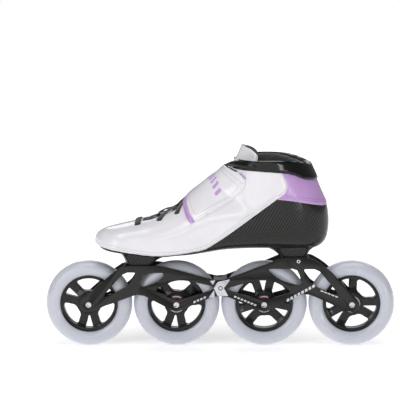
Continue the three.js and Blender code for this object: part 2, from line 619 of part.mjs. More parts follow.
function strapPiece(outline, thickness) {
  const layer = bootLayer(STRAP_UNDERSIDE, STRAP_UNDERSIDE + thickness);
  return largestPiece(layer.intersect(planPrism(polygon(outline), 120, 280)).intersect(strapSide));
}

addPart('instep_strap',
  strapPiece([...shifted(STRAP_FRONT, BINDING_WIDTH + GAP, 0), ...STRAP_REAR], STRAP_THICKNESS), whiteLeather);
addPart('strap_binding',
  strapPiece([...STRAP_FRONT, ...shifted(STRAP_FRONT, BINDING_WIDTH, 0).reverse()], STRAP_THICKNESS + 0.4),
  lilacLeather);

// ---- Lace ----------------------------------------------------------------------------------------
// A flat ribbon laid over the boot between two places seen from above.
function laceStrand([x0, y0], [x1, y1]) {
  const steps = 6;
  const places = Array.from({ length: steps + 1 }, (_, i) => {
    const t = i / steps;
    const x = THREE.MathUtils.lerp(x0, x1, t);
    const y = THREE.MathUtils.lerp(y0, y1, t);
    return skinHit(new THREE.Vector3(x, y, 300), new THREE.Vector3(0, 0, -1));
  });
  const rings = places.map(({ point, normal }, i) => {
    const before = places[Math.max(i - 1, 0)].point;
    const after = places[Math.min(i + 1, steps)].point;
    const side = after.clone().sub(before).cross(normal).normalize();
    const corner = (across, height) => point.clone()
      .addScaledVector(side, (across * LACE_WIDTH) / 2).addScaledVector(normal, height);
    const low = GAP + 0.5;
    const high = low + LACE_THICKNESS;
    return [corner(-1, high), corner(1, high), corner(1, low), corner(-1, low)];
  });
  return sheetLoft(rings);
}

const EYELETS = [[-103, 30, -18], [-77, 32, -22], [-54, 36, -24], [-35, 39, -26]];
let lace = laceStrand([EYELETS[0][0], EYELETS[0][1]], [EYELETS[0][0], EYELETS[0][2]]);
for (let i = 0; i + 1 < EYELETS.length; i++) {
  const [[x0, outer0, inner0], [x1, outer1, inner1]] = [EYELETS[i], EYELETS[i + 1]];
  lace = lace.add(laceStrand([x0, outer0], [x1, inner1])).add(laceStrand([x0, inner0], [x1, outer1]));
}
const underStrap = planPrism(polygon([...shifted(STRAP_FRONT, -1, 0), ...STRAP_REAR]), 120, 280);
addPart('lace', largestPiece(lace.subtract(underStrap)), blackCloth);

// ---- Ratchet buckle and ladder strap ---------------------------------------------------------------
// A bar along the local Y direction, centred on the strap's middle line.
function crossBar(u, w, radius, halfLength, segments = 12) {
  return pin(radius, -halfLength, halfLength, segments).translate([u, 0, w]);
}

function plate(outline, low, high) {
  return planPrism(roundedPolygon(outline, 2), low, high);
}

function rectangle(uLow, uHigh, vHalf) {
  return [[uLow, -vHalf], [uHigh, -vHalf], [uHigh, vHalf], [uLow, vHalf]];
}

function buckleBase() {
  let solid = plate(rectangle(-BASE.length / 2, BASE.length / 2, BASE.width / 2), 0, BASE.thickness);
  const cheek = [[CHEEK.front, 1], [CHEEK.back, 1], [CHEEK.back - 3, CHEEK.top], [CHEEK.front + 3, CHEEK.top]];
  for (const side of [-1, 1]) {
    const [low, high] = [CHEEK.inner * side, CHEEK.outer * side].sort((a, b) => a - b);
    solid = solid.add(sidePrism(roundedPolygon(cheek, 2), low, high));
  }
  for (const u of [LEVER_PIVOT, RELEASE_PIVOT]) {
    solid = solid.subtract(crossBar(u, PIVOT_HEIGHT, PIN_RADIUS + 0.2, 12));
  }
  return RIVETS_U.reduce((left, u) => left.subtract(peg(u, 0, RIVET_RADIUS + GAP, -1, 5)), solid);
}

// A lever that turns on a cross pin: a round eye with a tapering arm that reaches to `tip`.
function buckleArm(pivot, tip, endHeight, halfWidth) {
  const reach = Math.sign(tip - pivot);
  const arm = [[pivot, PIVOT_HEIGHT - 2.2], [tip - reach * 3, PIVOT_HEIGHT - 1.6], [tip, endHeight],
    [tip - reach * 2, endHeight + 1.8], [pivot, PIVOT_HEIGHT + 2.2]];
  const eye = crossBar(pivot, PIVOT_HEIGHT, 2.3, halfWidth);
  return sidePrism(polygon(arm), -halfWidth, halfWidth).add(eye)
    .subtract(crossBar(pivot, PIVOT_HEIGHT, PIVOT_BORE, halfWidth + 1));
}

function ladderStrap() {
  const body = plate(rectangle(-56, 17, LADDER.width / 2), LADDER.bottom, LADDER.top);
  return body.subtract(peg(-51, 0, 1.3 + GAP, 0, 9));
}

function connectorSolid() {
  const { front, back, halfWidth, thickness } = CONNECTOR;
  const outline = [[front, -5], [front + 5, -halfWidth], [back - 4, -halfWidth], [back, -6], [back, 6],
    [back - 4, halfWidth], [front + 5, halfWidth], [front, 5]];
  return plate(outline, connectorTop - thickness, connectorTop).subtract(peg(-51, 0, 1.3 + GAP, 0, 9));
}

const pivotPinHalf = CHEEK.outer + 0.6;
addPart('buckle_base', buckleBase(), blackNylon, buckle);
addPart('buckle_lever', buckleArm(LEVER_PIVOT, 25, PIVOT_HEIGHT + 1, 7.8), blackNylon, buckle);
addPart('buckle_release', buckleArm(RELEASE_PIVOT, -22, PIVOT_HEIGHT + 0.6, 6.5), blackNylon, buckle);
addPart('lever_pin', crossBar(LEVER_PIVOT, PIVOT_HEIGHT, PIN_RADIUS, pivotPinHalf), steel, buckle);
addPart('release_pin', crossBar(RELEASE_PIVOT, PIVOT_HEIGHT, PIN_RADIUS, pivotPinHalf), steel, buckle);
addPart('ladder_strap', ladderStrap(), blackNylon, buckle);
addPart('strap_connector', connectorSolid(), blackNylon, buckle);
addPart('connector_rivet',
  peg(-51, 0, 2.4, LADDER.top + GAP, LADDER.top + 1.3).add(peg(-51, 0, 1.3, connectorTop - 2, LADDER.top + 1)),
  steel, buckle);
RIVETS_U.forEach((u, i) => {
  const head = BASE.thickness + GAP;
  addPart(`buckle_rivet_${i + 1}`,
    peg(u, 0, 2.6, head, head + 0.9).add(peg(u, 0, RIVET_RADIUS, -BASE_STANDOFF - 1.6, head + 0.5)), steel, buckle);
});

export default assembly;
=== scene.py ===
import json
import math

import bpy
import numpy as np
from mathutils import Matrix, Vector
from mathutils.bvhtree import BVHTree


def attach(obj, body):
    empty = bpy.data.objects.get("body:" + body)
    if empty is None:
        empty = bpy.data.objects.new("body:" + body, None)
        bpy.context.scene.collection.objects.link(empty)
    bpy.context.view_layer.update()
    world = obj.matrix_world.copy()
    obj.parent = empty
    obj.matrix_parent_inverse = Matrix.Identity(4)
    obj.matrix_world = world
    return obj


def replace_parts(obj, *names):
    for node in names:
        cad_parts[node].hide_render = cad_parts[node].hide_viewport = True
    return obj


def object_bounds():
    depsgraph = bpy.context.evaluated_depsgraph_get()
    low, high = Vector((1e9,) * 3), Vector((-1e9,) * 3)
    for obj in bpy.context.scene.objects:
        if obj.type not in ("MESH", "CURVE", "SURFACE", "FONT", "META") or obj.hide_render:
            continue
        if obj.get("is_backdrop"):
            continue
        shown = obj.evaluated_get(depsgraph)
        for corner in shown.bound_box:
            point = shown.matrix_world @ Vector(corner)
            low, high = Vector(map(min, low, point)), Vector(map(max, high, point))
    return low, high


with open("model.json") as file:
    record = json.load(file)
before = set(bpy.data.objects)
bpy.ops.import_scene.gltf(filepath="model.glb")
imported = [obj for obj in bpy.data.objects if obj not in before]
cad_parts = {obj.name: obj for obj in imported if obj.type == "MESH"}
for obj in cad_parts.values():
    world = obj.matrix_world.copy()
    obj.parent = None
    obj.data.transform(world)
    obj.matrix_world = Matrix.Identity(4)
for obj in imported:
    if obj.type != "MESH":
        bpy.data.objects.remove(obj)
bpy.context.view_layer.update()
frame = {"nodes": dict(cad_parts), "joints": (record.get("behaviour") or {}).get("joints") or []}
JOINTS = {joint["name"]: joint for joint in frame["joints"]}

# Shapes are worked out in millimetres from the wheel plane, then moved into the frame.
MM = 0.001
WHEEL_PLANE = JOINTS["wheel_1_spin"]["pos_m"][1] / MM
AXLES = [JOINTS[f"wheel_{n}_spin"]["pos_m"][0] / MM for n in (1, 2, 3, 4)]
AXLE_HEIGHT = JOINTS["wheel_1_spin"]["pos_m"][2] / MM


def to_frame(points):
    return (np.asarray(points, float) + (0, WHEEL_PLANE, 0)) * MM


# ---- Mesh helpers ------------------------------------------------------------------------------

def add_mesh(name, verts, faces, material, body="root", uv=None, sharp=35, lining=None):
    """A smooth-shaded mesh piece from points in millimetres; `lining` is (material, face flags)."""
    mesh = bpy.data.meshes.new(name)
    mesh.from_pydata(to_frame(verts).tolist(), [], [tuple(int(i) for i in face) for face in faces])
    mesh.materials.append(material)
    if uv is not None:
        corner = np.zeros(len(mesh.loops), np.int32)
        mesh.loops.foreach_get("vertex_index", corner)
        mesh.uv_layers.new(name="UVMap").data.foreach_set("uv", np.asarray(uv, float)[corner].ravel())
    if lining is not None:
        mesh.materials.append(lining[0])
        mesh.polygons.foreach_set("material_index", np.asarray(lining[1], np.int32))
    mesh.polygons.foreach_set("use_smooth", np.ones(len(mesh.polygons), bool))
    mesh.set_sharp_from_angle(angle=math.radians(sharp))
    mesh.validate()
    piece = bpy.data.objects.new(name, mesh)
    bpy.context.scene.collection.objects.link(piece)
    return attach(piece, body)


def merged(parts):
    """One (points, faces) pair from several."""
    points, faces, start = [], [], 0
    for part_points, part_faces in parts:
        points.append(np.asarray(part_points, float))
        faces += [tuple(i + start for i in face) for face in part_faces]
        start += len(part_points)
    return np.vstack(points), faces


def add_parts(name, parts, material, slot_name, node=None, **options):
    """One piece from several parts; `node` is the CAD node that it replaces."""
    points, faces = merged(parts)
    piece = add_mesh(name, points, faces, material, **options)
    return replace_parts(piece, node) if node else piece


def grid_faces(rows, columns, wrap=False, capped=False):
    """Quads between rows of points; `wrap` joins their ends and `capped` fills the first and last row."""
    faces = []
    for i in range(rows - 1):
        for j in range(columns if wrap else columns - 1):
            k = (j + 1) % columns
            faces.append((i * columns + j, (i + 1) * columns + j, (i + 1) * columns + k, i * columns + k))
    if capped:
        last = (rows - 1) * columns
        faces += [tuple(range(columns)), tuple(last + j for j in reversed(range(columns)))]
    return faces


def lathe(profile, segments=96, centre=(0, 0, 0)):
    """A closed outline of (radius, y) points turned about the Y axis."""
    angles = np.arange(segments) * 2 * math.pi / segments
    outline = np.asarray(profile, float)
    points = np.array([(r * math.cos(a), y, r * math.sin(a)) for r, y in outline for a in angles])
    last = (len(outline) - 1) * segments
    faces = grid_faces(len(outline), segments, wrap=True)
    for j in range(segments):
        k = (j + 1) % segments
        faces.append((last + j, j, k, last + k))
    return points + np.asarray(centre, float), faces


def spline(points, steps=10):
    """A smooth line through the points."""
    line = np.asarray(points, float)
    padded = np.vstack([line[:1], line, line[-1:]])
    t = np.linspace(0, 1, steps, endpoint=False)[:, None]
    out = []
    for a, b, c, d in zip(padded, padded[1:], padded[2:], padded[3:]):
        out_slope, in_slope = (c - a) / 2, (d - b) / 2
        cubic = 2 * b - 2 * c + out_slope + in_slope
        square = 3 * (c - b) - 2 * out_slope - in_slope
        out.append(cubic * t ** 3 + square * t ** 2 + out_slope * t + b)
    return np.vstack(out + [line[-1:]])


def inside_by(points, outline):
    """Signed distance of 2-D points to a closed outline, positive inside."""
    points, outline = np.asarray(points, float), np.asarray(outline, float)
    nearest = np.full(len(points), np.inf)
    inside = np.zeros(len(points), bool)
    for (ax, ay), (bx, by) in zip(outline, np.roll(outline, -1, axis=0)):
        edge = np.array([bx - ax, by - ay])
        reach = points - (ax, ay)
        t = np.clip(reach @ edge / max(edge @ edge, 1e-9), 0, 1)
        nearest = np.minimum(nearest, np.hypot(*(reach - t[:, None] * edge).T))
        spans = (ay > points[:, 1]) != (by > points[:, 1])
        rise = by - ay if by != ay else 1e-9
        inside ^= spans & (points[:, 0] < (points[:, 1] - ay) * (bx - ax) / rise + ax)
    return np.where(inside, nearest, -nearest)


def clip(rows, faces, values):
    """The part of a mesh where `values` is positive, cut along zero. Rows hold a point and any data."""
    rows, values = np.asarray(rows, float), np.asarray(values, float)
    keep, cut, extra, out = values > 0, {}, [], []

    def crossing(a, b):
        key = (min(a, b), max(a, b))
        if key not in cut:
            t = values[key[0]] / (values[key[0]] - values[key[1]])
            cut[key] = len(rows) + len(extra)
            extra.append(rows[key[0]] * (1 - t) + rows[key[1]] * t)
        return cut[key]

    for face in faces:
        flags = [keep[i] for i in face]
        if all(flags):
            out.append(tuple(face))
        elif any(flags):
            corners = []
            for n, a in enumerate(face):
                b = face[(n + 1) % len(face)]
                if keep[a]:
                    corners.append(a)
                if keep[a] != keep[b]:
                    corners.append(crossing(a, b))
            out.append(tuple(corners))
    every = np.vstack([rows] + ([np.array(extra)] if extra else []))
    used = sorted({i for face in out for i in face})
    renumber = {old: new for new, old in enumerate(used)}
    return every[used], [tuple(renumber[i] for i in face) for face in out]


def level_lines(rows, faces, values, level=0.0):
    """The lines where `values` equals `level`, as arrays of interpolated rows."""
    rows, values = np.asarray(rows, float), np.asarray(values, float) - level
    above, place, links = values > 0, {}, {}
    for face in faces:
        keys = []
        for n, a in enumerate(face):
            b = face[(n + 1) % len(face)]
            if above[a] != above[b]:
                key = (min(a, b), max(a, b))
                t = values[key[0]] / (values[key[0]] - values[key[1]])
                place[key] = rows[key[0]] * (1 - t) + rows[key[1]] * t
                keys.append(key)
        for one, other in zip(keys[::2], keys[1::2]):
            links.setdefault(one, []).append(other)
            links.setdefault(other, []).append(one)
    lines, seen = [], set()
    for start in sorted(links, key=lambda key: (len(links[key]), key)):
        if start in seen:
            continue
        chain, here = [], start
        while here is not None:
            seen.add(here)
            chain.append(place[here])
            here = next((key for key in links[here] if key not in seen), None)
        if len(chain) > 2:
            lines.append(np.array(chain))
    return lines


def slab(top, bottom, faces):
    """A closed body between two matching sheets, with walls along their edges."""
    count = len(top)
    edges = {}
    for face in faces:
        for n, a in enumerate(face):
            edges[(a, face[(n + 1) % len(face)])] = True
    walls = [(b, a, a + count, b + count) for a, b in edges if (b, a) not in edges]
    body = list(faces) + [tuple(i + count for i in reversed(face)) for face in faces] + walls
    flags = [0] * len(faces) + [1] * len(faces) + [0] * len(walls)
    return np.vstack([top, bottom]), body, flags


def tube(path, radius, sides=8, flat=1.0, normals=None):
    """A bar along a path; `flat` squeezes it along the normals."""
    path = np.asarray(path, float)
    tangent = np.gradient(path, axis=0)
    tangent /= np.linalg.norm(tangent, axis=1)[:, None]
    if normals is None:
        seed = np.array((0.1, 0.2, 1.0))
        normals = seed - (tangent @ seed)[:, None] * tangent
    normals = normals - np.sum(normals * tangent, axis=1)[:, None] * tangent
    normals = normals / np.linalg.norm(normals, axis=1)[:, None]
    side = np.cross(tangent, normals)
    radii = np.broadcast_to(np.asarray(radius, float), len(path))
    points = []
    for n in range(len(path)):
        for j in range(sides):
            a = 2 * math.pi * (j + 0.5) / sides
            offset = side[n] * math.cos(a) + normals[n] * math.sin(a) * flat
            points.append(path[n] + offset * radii[n])
    faces = grid_faces(len(path), sides, wrap=True, capped=True)
    return np.array(points), [tuple(reversed(face)) for face in faces[:-2]] + faces[-2:]


def along(line, pitch):
    """Rows spaced evenly along a line of rows whose first three columns are a point."""
    length = np.concatenate([[0], np.cumsum(np.linalg.norm(np.diff(line[:, :3], axis=0), axis=1))])
    places = np.linspace(0, length[-1], max(int(length[-1] / pitch), 1) + 1)
    return np.array([np.interp(places, length, column) for column in line.T]).T


def stitch_parts(lines, pitch=3.1, share=0.68, radius=0.34, lift=0.12):
    """Short threads along lines of (point, normal) rows."""
    parts = []
    for line in lines:
        rows = along(line, pitch)
        for a, b in zip(rows, rows[1:]):
            start, end = a[:3], a[:3] + (b[:3] - a[:3]) * share
            normal = a[3:6] / max(np.linalg.norm(a[3:6]), 1e-6)
            steps = np.array((0.0, 0.18, 0.5, 0.82, 1.0))[:, None]
            path = start + (end - start) * steps + normal * (lift - 0.35 * (2 * steps - 1) ** 4)
            shape = np.array((0.35, 0.85, 1, 0.85, 0.35)) * radius
            parts.append(tube(path, shape, 6, 1.0, np.tile(normal, (5, 1))))
    return parts


# ---- Materials ---------------------------------------------------------------------------------

def srgb(*levels):
    return tuple((c / 255 / 12.92) if c < 11 else ((c / 255 + 0.055) / 1.055) ** 2.4 for c in levels) + (1.0,)


class Shader:
    """A Principled material with helpers that chain procedural colour, roughness and bump."""

    def __init__(self, name, **inputs):
        self.material = bpy.data.materials.new(name)
        self.material.use_nodes = True
        self.tree = self.material.node_tree
        self.bsdf = self.tree.nodes["Principled BSDF"]
        self.normal = None
        for key, value in inputs.items():
            self.bsdf.inputs[key.replace("_", " ")].default_value = value

    def node(self, kind, inputs=(), **settings):
        node = self.tree.nodes.new(kind)
        for key, value in settings.items():
            setattr(node, key, value)
        for key, value in dict(inputs).items():
            if isinstance(value, bpy.types.NodeSocket):
                self.tree.links.new(value, node.inputs[key])
            else:
                node.inputs[key].default_value = value
        return node

    def place(self, kind="Object", stretch=(1, 1, 1)):
        source = self.node("ShaderNodeTexCoord").outputs[kind]
        return self.node("ShaderNodeMapping", {"Vector": source, "Scale": stretch}).outputs["Vector"]

    def noise(self, place, scale, detail=3.0, distortion=0.0):
        node = self.node("ShaderNodeTexNoise",
                         {"Vector": place, "Scale": scale, "Detail": detail, "Distortion": distortion})
        return node.outputs["Fac"]

    def cells(self, place, scale):
        return self.node("ShaderNodeTexVoronoi", {"Vector": place, "Scale": scale}).outputs["Distance"]

    def math(self, operation, a, b=0.0, c=0.0):
        return self.node("ShaderNodeMath", {0: a, 1: b, 2: c}, operation=operation).outputs[0]

    def ramp(self, value, low, high, out_low=0.0, out_high=1.0):
        node = self.node("ShaderNodeMapRange", {"Value": value, "From Min": low, "From Max": high,
                                                "To Min": out_low, "To Max": out_high})
        return node.outputs["Result"]

    def blend(self, factor, first, second):
        """Mixes two colours; the numbers are the RGBA sockets of the mix node."""
        return self.node("ShaderNodeMix", {0: factor, 6: first, 7: second}, data_type="RGBA").outputs[2]

    def feed(self, key, socket):
        self.tree.links.new(socket, self.bsdf.inputs[key])

    def rim_glow(self, color, edge_highlight):
        """Paints a sheen: the colour turns to the second colour where the surface is seen edge on."""
        facing = self.node("ShaderNodeLayerWeight", {"Blend": 0.35}).outputs["Facing"]
        return self.blend(self.ramp(facing, 0.25, 0.95, 0, 0.8), color, edge_highlight)

    def bump(self, height, depth_mm, strength=1.0):
        inputs = {"Height": height, "Distance": depth_mm * MM, "Strength": strength}
        if self.normal is not None:
            inputs["Normal"] = self.normal
        self.normal = self.node("ShaderNodeBump", inputs).outputs["Normal"]
        self.feed("Normal", self.normal)

    def edges(self, color, edge_highlight):
        """Paints a highlight along convex edges: the colour turns to the second colour there."""
        point = self.node("ShaderNodeNewGeometry").outputs["Pointiness"]
        return self.blend(self.ramp(point, 0.53, 0.62, 0.0, 0.5), color, edge_highlight)


def leather(name, dark, light, rough, coat, grain=0.1):
    s = Shader(name, Coat_Weight=coat, Coat_Roughness=0.14, Sheen_Weight=0.04)
    place = s.place()
    broad, pores = s.noise(place, 22, 4), s.cells(place, 620)
    s.feed("Base Color", s.blend(s.ramp(broad, 0.35, 0.65), dark, light))
    s.feed("Roughness", s.ramp(s.noise(place, 60), 0.3, 0.7, rough - 0.03, rough + 0.03))
    s.bump(s.noise(place, 34, 2), grain * 2, 0.12)
    s.bump(pores, grain * 0.7, 0.3)
    return s.material


def patent(name, color):
    s = Shader(name, Coat_Weight=0.45, Coat_Roughness=0.05, Roughness=0.3, Specular_IOR_Level=0.12)
    place = s.place()
    s.feed("Base Color", s.blend(s.noise(place, 90), color, srgb(15, 15, 16)))
    s.bump(s.noise(place, 90, 2, 0.6), 0.2, 0.3)
    return s.material


def twill(name):
    """Carbon twill under clear resin: tows 1.2 mm wide, each over two and under two."""
    s = Shader(name, Coat_Weight=0.5, Coat_Roughness=0.13)
    tow = 1.2
    laid = s.node("ShaderNodeMapping", {"Vector": s.node("ShaderNodeTexCoord").outputs["UV"],
                                        "Rotation": (0, 0, math.radians(-14)), "Scale": (1 / tow, 1 / tow, 1)})
    split = s.node("ShaderNodeSeparateXYZ", {0: laid.outputs["Vector"]})
    u, v = split.outputs[0], split.outputs[1]
    step = s.math("SUBTRACT", s.math("FLOOR", u), s.math("FLOOR", v))
    over = s.math("LESS_THAN", s.math("FLOORED_MODULO", step, 4.0), 2.0)
    crown_u = s.math("SINE", s.math("MULTIPLY", s.math("FRACT", u), math.pi))
    crown_v = s.math("SINE", s.math("MULTIPLY", s.math("FRACT", v), math.pi))
    lie = s.math("MULTIPLY_ADD", over, s.math("SUBTRACT", crown_u, crown_v), crown_v)
    strands = s.noise(s.place("UV", (9, 0.7, 1)), 1.0, 2)
    # The base colour paints the weave's sheen: tows lying one way are painted much lighter than those lying across,
    # and each tow lighter on its crown than at its sides.
    shade = s.math("MULTIPLY", s.ramp(lie, 0, 1, 0.55, 1.0), s.ramp(over, 0, 1, 0.05, 1.0))
    base = s.blend(shade, srgb(4, 4, 4), srgb(46, 45, 43))
    s.feed("Base Color", s.blend(s.math("MULTIPLY", strands, 0.35), base, srgb(24, 24, 24)))
    s.feed("Roughness", s.ramp(over, 0, 1, 0.34, 0.5))
    s.feed("Specular IOR Level", s.ramp(over, 0, 1, 0.03, 0.12))
    s.bump(lie, 0.12, 0.5)
    return s.material


def fabric(name, dark, light, pitch_mm, depth=0.25, sheen=0.3, rough=0.9):
    """A plain weave that needs no UVs: two sets of ribs across each other."""
    s = Shader(name, Roughness=rough, Sheen_Weight=sheen, Sheen_Roughness=0.5)
    place = s.place()
    frequency = 2 * math.pi / (pitch_mm * MM)
    split = s.node("ShaderNodeSeparateXYZ", {0: place})
    x, y, z = (split.outputs[n] for n in range(3))
    warp = s.math("SINE", s.math("MULTIPLY", s.math("ADD", x, y), frequency))
    weft = s.math("SINE", s.math("MULTIPLY", s.math("SUBTRACT", z, y), frequency))
    weave = s.ramp(s.math("MULTIPLY", warp, weft), -1, 1)
    patchy = s.math("MULTIPLY_ADD", s.noise(place, 35, 4), 0.5, s.math("MULTIPLY", weave, 0.55))
    s.feed("Base Color", s.blend(patchy, dark, light))
    s.bump(weave, depth, 0.7)
    s.bump(s.noise(place, 3000, 2), 0.06, 0.5)
    return s.material


def lace_cloth(name):
    """A flat braid: slanted ribs that mirror about the middle of the ribbon."""
    s = Shader(name, Roughness=0.88, Sheen_Weight=0.35)
    split = s.node("ShaderNodeSeparateXYZ", {0: s.place("UV")})
    across = s.math("ABSOLUTE", split.outputs[0])
    slant = s.math("MULTIPLY_ADD", across, 1.2, split.outputs[1])
    rib = s.ramp(s.math("SINE", s.math("MULTIPLY", slant, 5.2)), -1, 1)
    s.feed("Base Color", s.blend(rib, srgb(12, 12, 13), srgb(46, 45, 48)))
    s.bump(rib, 0.3, 0.8)
    s.bump(s.noise(s.place(), 2600, 2), 0.08, 0.6)
    return s.material


def metal(name, color, rough, brushed=(1, 1, 1), edge_highlight=None, metallic=1.0, specular=0.5):
    s = Shader(name, Metallic=metallic, Specular_IOR_Level=specular)
    place = s.place(stretch=brushed)
    lines = s.noise(place, 900, 2)
    stain = s.noise(s.place(), 45, 4)
    pale = tuple(min(c * 1.35 + 0.004, 1) for c in color[:3]) + (1,)
    base = s.blend(s.ramp(stain, 0.3, 0.7), color, pale)
    # Convex edges are painted with a highlight in the second colour, when one is given.
    s.feed("Base Color", s.edges(base, edge_highlight) if edge_highlight else base)
    s.feed("Roughness", s.ramp(lines, 0.3, 0.7, rough - 0.06, rough + 0.08))
    s.bump(lines, 0.04, 0.3)
    return s.material


def plastic(name, color, light, rough, grain=900, depth=0.05, **inputs):
    s = Shader(name, **inputs)
    place = s.place()
    base = s.blend(s.ramp(s.noise(place, 70, 4), 0.3, 0.7), color, light)
    s.feed("Base Color", base)
    s.feed("Roughness", s.ramp(s.noise(place, 240), 0.3, 0.7, rough - 0.05, rough + 0.08))
    s.bump(s.noise(place, grain, 3), depth, 0.5)
    return s.material


def urethane(name):
    """Milky cast tyre: faint clouds inside, with a painted sheen that turns it paler where it is seen edge on."""
    s = Shader(name, Coat_Weight=0.5, Coat_Roughness=0.08)
    place = s.place()
    cloud = s.blend(s.ramp(s.noise(place, 12, 2), 0.3, 0.7), srgb(192, 195, 206), srgb(198, 200, 210))
    s.feed("Base Color", s.rim_glow(cloud, srgb(222, 223, 232)))
    s.feed("Roughness", s.ramp(s.noise(place, 30), 0.3, 0.7, 0.26, 0.34))
    return s.material


URETHANE = urethane("urethane")
CORE = plastic("core_nylon", srgb(12, 12, 12), srgb(20, 20, 21), 0.34, 1100, 0.04,
               Specular_IOR_Level=0.15, Coat_Weight=0.5, Coat_Roughness=0.12)
SEAL = plastic("bearing_seal", srgb(150, 22, 30), srgb(176, 36, 42), 0.42, 1500, 0.03)
STEEL = metal("steel", srgb(196, 197, 200), 0.24, (1, 8, 1))
RACE = metal("bearing_race", srgb(150, 151, 154), 0.2)
# The second colour of the two black finishes below is a painted highlight along their convex edges.
ANODISED = metal("anodised_black", srgb(15, 14, 13), 0.4, (0.25, 1, 3), srgb(66, 65, 64), metallic=0.0,
                 specular=0.2)
BLOCK = metal("block_black", srgb(14, 13, 13), 0.38, (1, 1, 0.3), srgb(60, 60, 59), metallic=0.0, specular=0.2)
CARBON = twill("carbon_twill")
WHITE = leather("white_leather", srgb(226, 224, 229), srgb(231, 229, 234), 0.22, 0.7, 0.07)
LILAC = leather("lilac_leather", srgb(178, 138, 196), srgb(193, 154, 210), 0.34, 0.3, 0.1)
PRINT = leather("lilac_print", srgb(184, 138, 206), srgb(196, 152, 216), 0.3, 0.4, 0.05)
PATENT = patent("black_patent", srgb(8, 8, 9))
LINING = fabric("lining_mesh", srgb(24, 24, 26), srgb(66, 65, 69), 1.5, 0.3)
PAD_CLOTH = fabric("padding_cloth", srgb(34, 33, 33), srgb(78, 76, 77), 1.3, 0.22, 0.5)
FOOTBED = fabric("insole_cloth", srgb(50, 49, 53), srgb(104, 102, 108), 1.1, 0.15)
TONGUE_MESH = fabric("tongue_mesh", srgb(112, 113, 119), srgb(166, 167, 173), 1.2, 0.15)
LACE = lace_cloth("lace_cloth")
NYLON = plastic("buckle_nylon", srgb(12, 12, 13), srgb(22, 22, 23), 0.36, 1300, 0.07, Specular_IOR_Level=0.3)
PALE_THREAD = fabric("pale_thread", srgb(158, 156, 164), srgb(205, 203, 210), 0.5, 0.05, 0.1, 0.7)
LILAC_THREAD = fabric("lilac_thread", srgb(132, 92, 154), srgb(170, 130, 190), 0.5, 0.05, 0.1, 0.7)
SILVER_FOIL = metal("silver_foil", srgb(188, 188, 194), 0.3, metallic=0.85)


# ---- Boot surface ------------------------------------------------------------------------------
# Sections stand upright along the forefoot, then fan about a hinge point above the instep.
TIP = (-158.3, 138.0)
BOOT_Y = 3.3
FAN_HINGE = np.array((-60.0, 243.0))
INSTEP_LINE = [
    TIP, (-156, 143.5), (-151.5, 147), (-143.8, 150.7), (-128.4, 154.3), (-113, 157.7), (-97.5, 161.5),
    (-85, 164.8), (-61, 174), (-48, 183), (-36, 194.5), (-20, 208), (-5, 219.5), (7, 229.5), (15, 238.5),
    (20, 247), (24, 258)]
SOLE_LINE = [
    TIP, (-157, 132.5), (-152, 127), (-144, 123.6), (-130, 121.2), (-100, 117.2), (-75.5, 115.8),
    (-59, 117.2), (-37.6, 118.9), (-20.5, 121.3), (2.6, 125), (25, 126.6), (57, 127), (95, 126),
    (113.5, 126.2), (123, 128.2), (130.5, 133), (135.8, 142), (138, 156), (137.8, 170), (135.3, 184),
    (128.5, 200), (121.7, 216), (113.5, 234), (109.5, 244), (106, 258)]
# Each row is a place (an X, then an angle), outer half-width, inner half-width and waist.
UPRIGHT = [
    (-158.3, 0.01, 0.01, 0.55), (-157.2, 6.5, 6.5, 0.55), (-154.6, 14.5, 13.2, 0.57), (-150, 21.8, 22.3, 0.58),
    (-143, 29.3, 30, 0.6), (-132, 38.2, 36.3, 0.62), (-118, 46, 38.2, 0.63), (-98, 52.7, 41, 0.63),
    (-78, 56.6, 43, 0.62), (-60, 58.4, 44.2, 0.6)]
FANNED = [
    (270, 58.4, 44.2, 0.6), (283, 59.3, 45, 0.58), (295, 58.6, 46.2, 0.57), (306, 55.6, 47.3, 0.56),
    (316, 51.4, 47.8, 0.55), (325, 48, 47.6, 0.53), (333, 46.2, 47.6, 0.5), (341, 45.2, 48.2, 0.48),
    (350, 46, 49.8, 0.47), (360, 46.8, 51, 0.47)]
COLLAR_ROW = (46.5, 50.7, 0.47)
AROUND = 168
TOP_POWER, SOLE_POWERS = 2.25, (3.0, 1.85)
instep, sole = spline(INSTEP_LINE), spline(SOLE_LINE)


def crossing_point(line, origin, direction):
    reach = line - origin
    side = direction[0] * reach[:, 1] - direction[1] * reach[:, 0]
    for i in np.nonzero((side[:-1] <= 0) != (side[1:] <= 0))[0]:
        point = line[i] + (line[i + 1] - line[i]) * side[i] / (side[i] - side[i + 1])
        if (point - origin) @ direction > 0:
            return point
    return line[0]


def boot_sections():
    """Rows of top point, bottom point, outer, inner, waist and heelward share."""
    rows = []
    upright = spline([(math.sqrt(x - TIP[0]), *rest) for x, *rest in UPRIGHT], 30)
    for place in np.linspace(0.03, upright[-1, 0], 72)[:-1]:
        x = TIP[0] + place ** 2
        sizes = [np.interp(place, upright[:, 0], upright[:, n]) for n in (1, 2, 3)]
        origin, down = np.array((x, 400.0)), np.array((0.0, -1.0))
        rows.append((crossing_point(instep, origin, down), crossing_point(sole, origin, down), *sizes, 0.0))
    fanned = spline(FANNED, 30)
    knots = [row[0] for row in FANNED]
    for angle in np.linspace(270, 360, 100):
        ray = np.array((math.cos(math.radians(angle)), math.sin(math.radians(angle))))
        sizes = [np.interp(angle, fanned[:, 0], fanned[:, n]) for n in (1, 2, 3)]
        heelward = np.interp(angle, knots, np.arange(len(knots))) / len(knots)
        rows.append((crossing_point(instep, FAN_HINGE, ray), crossing_point(sole, FAN_HINGE, ray), *sizes, heelward))
    last = rows[-1]
    for t in np.linspace(0, 1, 9)[1:]:
        sizes = [a + (b - a) * t for a, b in zip(last[2:5], COLLAR_ROW)]
        rows.append((last[0] + (instep[-1] - last[0]) * t, last[1] + (sole[-1] - last[1]) * t, *sizes,
                     last[5] + (1 - last[5]) * t))
    return rows


